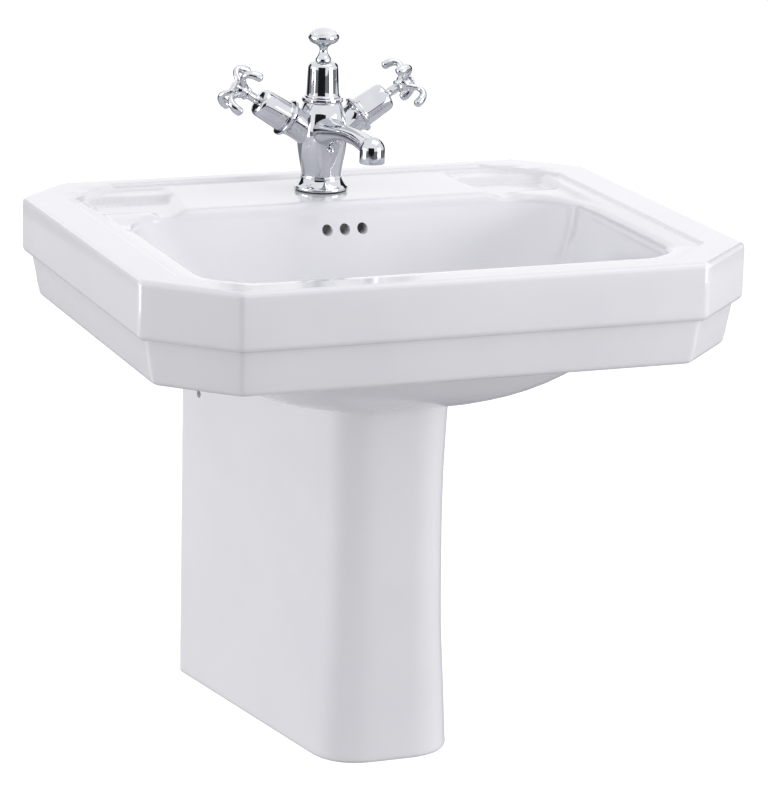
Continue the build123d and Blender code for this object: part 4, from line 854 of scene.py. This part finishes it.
class BASIN_OT_tap_body(bpy.types.Operator):
    """Builds the tap's body: foot, barrel, hub, arms, spout, and the middle tower"""

    bl_idname = "basin.tap_body"
    bl_label = "Tap body"

    def execute(self, context):
        base = (0, TAP_Y, TAP_FOOT_Z)
        outline = softened(TAP_FOOT, 0.7, 3) + flowing(TAP_NECK, 5)[1:]
        outline += TAP_BEAD + flowing(TAP_BARREL, 6)[1:]
        outline += softened(TAP_RING, (0, 0.6, 0.6, 0.2, 0), 3)[1:] + TAP_BORE
        parts = [turned("body", outline, base, UP, 96)]
        collar = softened(TAP_COLLAR, (0, 0.3, 0.6, 0.6, 0.2, 0, 0, 0), 3)
        arm = [(ON_AXIS, 8.0)] + flowing(TAP_ARM, 6) + collar[1:]
        for side in (-1, 1):
            parts.append(turned("arm", arm, (0, TAP_Y, ARM_Z), arm_axis(side), 80))
        line = flowing(SPOUT, 6)
        places = [(0, TAP_Y - out, TAP_FOOT_Z + up) for out, up, _, _ in line]
        parts.append(tube("spout", places, [(wide, high) for _, _, wide, high in line], 56))
        crown = dome(NOZZLE_DOME, NOZZLE_DOME, NOZZLE_DOME_HEIGHT)
        nozzle = [(ON_AXIS, 64.0)] + softened(NOZZLE, 0.3, 2) + crown
        nozzle.append((ON_AXIS, NOZZLE_DOME_HEIGHT + NOZZLE_DOME))
        parts.append(turned("nozzle", nozzle, (0, NOZZLE_Y, TAP_FOOT_Z), UP, 72))
        turns = [radians(a) for a in range(12, 180, 12)]
        bead = [(FINIAL * sin(a), -FINIAL * cos(a)) for a in turns]
        bead = [(ON_AXIS, -FINIAL)] + bead + [(ON_AXIS, FINIAL)]
        parts.append(turned("finial", bead, FINIAL_PLACE, FINIAL_AXIS, 32))
        dress(joined("tap_casting", *parts), "chrome", "root", "tap_body")
        bell = [(ROD_BORE, 94.0)] + softened(TOWER_SKIRT, 0.5, 3) + flowing(TOWER_WALL, 6)[1:]
        bell += shoulder(15.1, 6.0, 5.6, 124.4) + TOWER_BORE
        tower = turned("tap_tower_bell", bell, base, UP, 80, closed=True)
        dress(tower, "chrome", "root", "tap_tower")
        return {"FINISHED"}


def arm_axis(side):
    """The direction in which an arm of the tap rises."""
    return (side * cos(ARM_ANGLE), 0, sin(ARM_ANGLE))


# Bonnets, stems, hubs and buttons: radius, and distance out from the tap's middle along the arm
BONNET_SKIRT = [(13.8, 47.5), (16.0, 47.5), (16.0, 49.6), (15.6, 50.2), (15.6, 51.0)]
BONNET_WALL = [(15.5, 56.0), (15.1, 66.0), (14.8, 75.6)]
BONNET_INSIDE = [(5.1, 81.5), (5.1, 78.0), (12.2, 74.0)]
STEM = [(ON_AXIS, 33.0), (4.7, 33.0), (4.7, 84.0), (4.1, 85.2), (4.7, 86.4), (4.7, 104.0), (ON_AXIS, 104.0)]
HUB = [(4.8, 94.5), (6.6, 94.5), (7.4, 96.0), (6.4, 98.2), (8.4, 100.4), (8.8, 103.2), (8.2, 106.0)]
HUB += [(6.9, 108.0), (7.9, 110.0), (7.9, 111.5), (ON_AXIS, 111.5), (ON_AXIS, 104.6), (4.8, 104.6)]
HUB_ROUNDS = (0, 0.5, 0.8, 0.8, 1.4, 1.4, 1.2, 0.8, 0.6, 0.4, 0, 0, 0)
BUTTON = [(ON_AXIS, 111.5), (6.4, 111.5), (6.4, 112.5), (4.6, 113.4), (2.4, 113.8), (ON_AXIS, 113.9)]
# Claws of the cross handles: distance out from the hub's axis and along it, and half width and half height
CLAW = [(4.0, 103.4), (9.0, 106.6), (14.5, 111.0), (20.0, 112.0), (24.6, 109.6), (27.2, 104.6), (27.9, 100.2)]
CLAW_SIZES = [(4.2, 4.0), (3.4, 3.3), (3.1, 3.0), (3.4, 3.2), (4.1, 3.7), (4.9, 4.2), (4.9, 4.3)]
CLAW_TIP = 3.4


def claw(origin, axis, turn):
    """One curled arm of a cross handle, with a rounded tip."""
    start, across, other, along = axis_frame(origin, axis)
    out = across * cos(turn) + other * sin(turn)
    path = [start + out * reach + along * height for reach, height in flowing(CLAW, 5)]
    sizes = flowing(CLAW_SIZES, 5)
    end = path[-1]
    wide, high = sizes[-1]
    ahead = (end - path[-2]).normalized()
    for share in (0.35, 0.62, 0.82, 0.94, 1.0):
        shrink = sqrt(max(0.0, 1 - share * share))
        path.append(end + ahead * CLAW_TIP * share)
        sizes.append((max(0.05, wide * shrink), max(0.05, high * shrink)))
    return tube("claw", path, sizes, 20, side=along.cross(out))


class BASIN_OT_handles(bpy.types.Operator):
    """Builds the headwork bonnets, the four-clawed handles, their stems and their bare index buttons"""

    bl_idname = "basin.handles"
    bl_label = "Handles"

    def execute(self, context):
        origin = (0, TAP_Y, ARM_Z)
        bonnet = softened(BONNET_SKIRT, (0, 0.4, 0.3, 0.3, 0), 3) + BONNET_WALL
        bonnet += shoulder(14.7, 5.4, 5.2, 76.2) + BONNET_INSIDE
        for side, name, body in ((-1, "hot", "hot_tap"), (1, "cold", "cold_tap")):
            axis = arm_axis(side)
            cover = turned(name + "_bonnet_cover", bonnet, origin, axis, 72, closed=True)
            dress(cover, "chrome", "root", name + "_bonnet")
            stem = turned(name + "_stem", softened(STEM, 0.4, 2), origin, axis, 48)
            dress(stem, "chrome", body, name + "_spindle")
            parts = [turned("hub", softened(HUB, HUB_ROUNDS, 4), origin, axis, 56, closed=True)]
            parts += [claw(origin, axis, radians(45 + 90 * count)) for count in range(4)]
            dress(joined(name + "_cross_handle", *parts), "chrome", body, name + "_handle")
            outline = softened(BUTTON, (0, 0.2, 0.5, 1.0, 1.0, 0), 4)
            button = turned(name + "_index_button", outline, origin, axis, 48)
            dress(button, "index_enamel", body, name + "_index")
        return {"FINISHED"}


# Lift knob and its china cap: outlines of (radius, height above the tower)
KNOB_Z = 198.8
KNOB_FOOT = [(2.6, 0.0), (7.7, 0.0), (8.0, 0.4)]
KNOB_STEM = [(8.0, 1.2), (7.4, 3.4), (5.4, 6.4), (4.1, 9.6), (4.0, 12.0), (5.0, 14.6), (8.0, 17.0)]
KNOB_STEM += [(12.6, 19.2), (15.2, 22.4), (15.5, 25.0), (14.6, 27.4), (13.6, 28.0)]
KNOB_INSIDE = [(13.2, 27.6), (13.2, 25.0), (ON_AXIS, 25.0), (ON_AXIS, 10.1), (2.6, 10.1)]
CAP_RADIUS = 13.1
CAP_RISE = 5.9
CAP_HEIGHT = 28.0


class BASIN_OT_lift_knob(bpy.types.Operator):
    """Builds the pull knob of the pop-up waste with its china cap"""

    bl_idname = "basin.lift_knob"
    bl_label = "Lift knob"

    def execute(self, context):
        base = (0, TAP_Y, KNOB_Z)
        outline = KNOB_FOOT + flowing(KNOB_STEM, 6) + KNOB_INSIDE
        knob = turned("lift_knob_stem", outline, base, UP, 72, closed=True)
        dress(knob, "chrome", "lift", "lift_knob")
        outline = [(ON_AXIS, 25.05), (CAP_RADIUS, 25.05)] + dome(CAP_RADIUS, CAP_RISE, CAP_HEIGHT)
        outline.append((ON_AXIS, CAP_HEIGHT + CAP_RISE))
        cap = turned("lift_knob_cap", outline, base, UP, 64)
        dress(cap, "glazed_china", "lift", "knob_cap")
        return {"FINISHED"}


def ridges(low, high, crest, root, pitch):
    """Half section of a thread: a root and a crest at every pitch between two heights."""
    points = []
    for k in range(int((high - low) / pitch)):
        for radius, share in ((root, 0.1), (crest, 0.45), (crest, 0.6)):
            points.append((radius, low + pitch * (k + share)))
    return points + [(root, high)]


# Wall stud and wall screw: radius, and distance into the wall
STUD = [(ON_AXIS, -STUD_PROUD), (3.7, -STUD_PROUD), (4.6, -STUD_PROUD + 1.0)]
STUD += ridges(-STUD_PROUD + 1.2, -2.0, 4.65, 4.05, 1.5) + [(4.3, -1.8), (4.3, 0.0)]
STUD += ridges(0.2, 44.0, 4.95, 3.5, 3.4) + [(2.0, 54.6), (ON_AXIS, 54.8)]
WALL_SCREW = [(ON_AXIS, -6.0), (3.0, -5.7), (5.2, -4.2), (5.4, -2.55), (2.6, -2.5), (2.6, 0.0)]
WALL_SCREW += ridges(0.2, 30.0, 2.95, 2.0, 2.4) + [(0.8, 37.0), (ON_AXIS, 37.4)]


class BASIN_OT_fixings(bpy.types.Operator):
    """Builds the threaded wall studs and the round-headed wall screws"""

    bl_idname = "basin.fixings"
    bl_label = "Wall fixings"

    def execute(self, context):
        studs = [turned("wall_stud", STUD, (x, 0, 0), INTO_WALL, 40) for x in BOLT_XS]
        dress(joined("hanger_studs", *studs), "steel", "root", "wall_studs")
        places = [(x, 0, WALL_SCREW_Z) for x in WALL_SCREW_XS]
        screws = [turned("wall_screw", WALL_SCREW, place, INTO_WALL, 32) for place in places]
        dress(joined("pedestal_wall_screws", *screws), "steel", "root", "bracket_wall_screws")
        return {"FINISHED"}


class BASIN_OT_carried_over(bpy.types.Operator):
    """Gives each solid that is still shown its material"""

    bl_idname = "basin.carried_over"
    bl_label = "Fittings' finishes"

    def execute(self, context):
        slots = {row["node"]: row["material_slot"] for row in frame["record"]["subparts"]}
        for name, node in frame["nodes"].items():
            if not node.hide_render:
                node.data.materials.clear()
                node.data.materials.append(finish(slots[name]))
        return {"FINISHED"}


# Camera, as fitted to the photograph: its place in metres, and the directions ahead of it and above it
CAMERA_PLACE = (-1.3192, -3.6304, 0.8522)
CAMERA_AHEAD = (0.35359, 0.89991, -0.25522)
CAMERA_ABOVE = (0.07106, 0.24621, 0.96661)
FLOOR_SIZE = 24.0
# Dark boards that only mirrors see, but for the first: place, width, height, and whether it shades the light
BOARDS = (
    ("dark_board_behind_camera", (-2.6, -4.7, 0.7), 5.4, 3.4, True),
    ("dark_board_back_left", (-2.2, 3.4, 0.5), 2.2, 3.4, False),
    ("dark_board_back_right", (3.6, 2.2, 0.5), 2.6, 3.4, False),
)
BOARDS_FACE = (0, -0.1, 0.1)
# Softboxes: name, place, size, and the panel's value for its power
SOFTBOXES = (
    ("top_softbox", (0.9, -0.7, 2.8), 2.2, "top_light"),
    ("left_softbox", (-3.4, 0.1, -0.2), 1.8, "left_light"),
    ("right_softbox", (2.4, -2.6, 0.3), 1.6, "right_light"),
)
LAMPS_FACE = (0, -0.25, 0.0)
WHITE = (1, 1, 1, 1)


class BASIN_OT_stage(bpy.types.Operator):
    """Sets the floor, the white studio room, its soft lamps and dark boards, and the camera"""

    bl_idname = "basin.stage"
    bl_label = "Studio"

    def floor(self, stage):
        """A plain floor that keeps the object's shadow and shows nearly white."""
        bpy.ops.mesh.primitive_plane_add(size=FLOOR_SIZE, location=(0, 0, stage.floor_z))
        floor = bpy.context.object
        floor.name = "studio_floor"
        paper = bpy.data.materials.new("white_paper_floor")
        tree = empty_tree(paper)
        rays = add_node(tree, "ShaderNodeLightPath")
        matte = add_node(tree, "ShaderNodeBsdfDiffuse", {"Color": to_linear("#AEAEB0")})
        glow = add_node(tree, "ShaderNodeEmission", {"Color": WHITE, "Strength": stage.floor_glow})
        lit = add_node(tree, "ShaderNodeAddShader", {}, {0: matte.outputs[0], 1: glow.outputs[0]})
        ends = {"Fac": rays.outputs["Is Camera Ray"], 1: matte.outputs[0], 2: lit.outputs[0]}
        both = add_node(tree, "ShaderNodeMixShader", {}, ends)
        add_node(tree, "ShaderNodeOutputMaterial", {}, {"Surface": both.outputs[0]})
        floor.data.materials.append(paper)

    def boards(self):
        """Dark boards, which the camera doesn't see, for the chrome to mirror."""
        black = bpy.data.materials.new("black_felt")
        black.use_nodes = True
        shade = black.node_tree.nodes["Principled BSDF"]
        shade.inputs["Base Color"].default_value = to_linear("#202022")
        shade.inputs["Roughness"].default_value = 0.95
        for name, place, wide, high, shades in BOARDS:
            bpy.ops.mesh.primitive_plane_add(size=1.0)
            board = bpy.context.object
            board.name = name
            turn = (Vector(BOARDS_FACE) - Vector(place)).to_track_quat("Z", "Y")
            board.data.transform(Matrix.Diagonal((wide, high, 1, 1)))
            board.data.transform(turn.to_matrix().to_4x4())
            board.data.transform(Matrix.Translation(place))
            board.data.materials.append(black)
            board.visible_camera = False
            board.visible_diffuse = shades
            board.visible_shadow = False

    def room(self, scene, stage):
        """An even room light, with white behind the object and in the mirrors."""
        world = bpy.data.worlds.new("white_studio")
        scene.world = world
        tree = empty_tree(world)
        rays = add_node(tree, "ShaderNodeLightPath").outputs
        most = {"operation": "MAXIMUM"}
        seen = add_node(tree, "ShaderNodeMath", most, {0: rays["Is Camera Ray"], 1: rays["Is Glossy Ray"]})
        pair = {0: seen.outputs[0], 1: rays["Is Transmission Ray"]}
        white_rays = add_node(tree, "ShaderNodeMath", most, pair)
        light = {"Color": to_linear("#F0EFF7"), "Strength": stage.room_light}
        room = add_node(tree, "ShaderNodeBackground", light)
        more = {"operation": "MULTIPLY_ADD", 1: stage.mirror_gain, 2: 1.0}
        gain = add_node(tree, "ShaderNodeMath", more, {0: rays["Is Glossy Ray"]})
        white = add_node(tree, "ShaderNodeBackground", {"Color": WHITE}, {"Strength": gain.outputs[0]})
        ends = {"Fac": white_rays.outputs[0], 1: room.outputs[0], 2: white.outputs[0]}
        both = add_node(tree, "ShaderNodeMixShader", {}, ends)
        add_node(tree, "ShaderNodeOutputWorld", {}, {"Surface": both.outputs[0]})

    def lamps(self, scene, stage):
        """Soft lamps above and at both sides."""
        for name, place, size, power in SOFTBOXES:
            lamp = bpy.data.lights.new(name, "AREA")
            lamp.shape = "SQUARE"
            lamp.size = size
            lamp.energy = getattr(stage, power)
            holder = bpy.data.objects.new(name, lamp)
            scene.collection.objects.link(holder)
            holder.location = place
            turn = (Vector(LAMPS_FACE) - Vector(place)).to_track_quat("-Z", "Y")
            holder.rotation_euler = turn.to_euler()

    def camera(self, scene, stage):
        """The camera at the photograph's angle."""
        data = bpy.data.cameras.new("camera")
        data.lens = stage.lens
        data.sensor_width = 36.0
        data.clip_start = 0.1
        data.clip_end = 100.0
        camera = bpy.data.objects.new("camera", data)
        scene.collection.objects.link(camera)
        ahead = Vector(CAMERA_AHEAD).normalized()
        right = ahead.cross(Vector(CAMERA_ABOVE)).normalized()
        above = right.cross(ahead)
        turn = Matrix((right, above, -ahead)).transposed()
        camera.matrix_world = Matrix.Translation(CAMERA_PLACE) @ turn.to_4x4()
        scene.camera = camera

    def execute(self, context):
        stage = context.scene.basin_stage
        only()
        self.floor(stage)
        self.boards()
        self.room(context.scene, stage)
        self.lamps(context.scene, stage)
        self.camera(context.scene, stage)
        context.scene.view_settings.view_transform = "Standard"
        return {"FINISHED"}


class BasinSizes(bpy.types.PropertyGroup):
    """Sizes that a user would change"""

    rim_round: FloatProperty(
        name="Rim round", description="Radius along the rim's top edge, in mm", default=5.0
    )
    bowl_round: FloatProperty(
        name="Bowl round", description="Radius along the bowl's top edge, in mm", default=9.0
    )
    foot_round: FloatProperty(
        name="Foot round", description="Radius along the pedestal's foot, in mm", default=5.0
    )


class BasinFinish(bpy.types.PropertyGroup):
    """Colours that a user would change"""

    china: FloatVectorProperty(
        name="China",
        description="Colour of the glazed china",
        default=(0.965, 0.963, 0.972),
        subtype="COLOR",
        min=0,
        max=1,
    )


class BasinStage(bpy.types.PropertyGroup):
    """Floor, lamps and lens of the studio"""

    floor_z: FloatProperty(name="Floor", description="Height of the floor", default=-0.78, unit="LENGTH")
    floor_glow: FloatProperty(
        name="Floor glow", description="Whiteness of the floor to the camera", default=0.82
    )
    room_light: FloatProperty(name="Room light", description="Even light from all round", default=0.7)
    top_light: FloatProperty(
        name="Top softbox", description="Power of the lamp above", default=13.0, unit="POWER"
    )
    left_light: FloatProperty(
        name="Left softbox", description="Power of the left lamp", default=58.0, unit="POWER"
    )
    right_light: FloatProperty(
        name="Right softbox", description="Power of the right lamp", default=50.0, unit="POWER"
    )
    mirror_gain: FloatProperty(
        name="Mirror gain", description="Extra white that polished surfaces mirror", default=0.2
    )
    lens: FloatProperty(name="Lens", description="Focal length", default=173.6, unit="CAMERA")


STEPS = (
    BASIN_OT_china,
    BASIN_OT_half_pedestal,
    BASIN_OT_tap_body,
    BASIN_OT_handles,
    BASIN_OT_lift_knob,
    BASIN_OT_fixings,
    BASIN_OT_carried_over,
    BASIN_OT_stage,
)


class BASIN_PT_panel(bpy.types.Panel):
    """Lists the basin's making steps in the sidebar"""

    bl_label = "Semi-pedestal basin"
    bl_space_type = "VIEW_3D"
    bl_region_type = "UI"
    bl_category = "Basin"

    def draw(self, context):
        for group in (context.scene.basin_sizes, context.scene.basin_finish, context.scene.basin_stage):
            for name in group.bl_rna.properties.keys():
                if name not in ("rna_type", "name"):
                    self.layout.prop(group, name)
        for step in STEPS:
            self.layout.operator(step.bl_idname)


CLASSES = (BasinSizes, BasinFinish, BasinStage) + STEPS + (BASIN_PT_panel,)


def register():
    for each in CLASSES:
        bpy.utils.register_class(each)
    bpy.types.Scene.basin_sizes = PointerProperty(type=BasinSizes)
    bpy.types.Scene.basin_finish = PointerProperty(type=BasinFinish)
    bpy.types.Scene.basin_stage = PointerProperty(type=BasinStage)


def unregister():
    del bpy.types.Scene.basin_sizes
    del bpy.types.Scene.basin_finish
    del bpy.types.Scene.basin_stage
    for each in reversed(CLASSES):
        bpy.utils.unregister_class(each)


def main():
    register()
    for step in STEPS:
        family, name = step.bl_idname.split(".")
        getattr(getattr(bpy.ops, family), name)()


if __name__ == "__main__":
    main()
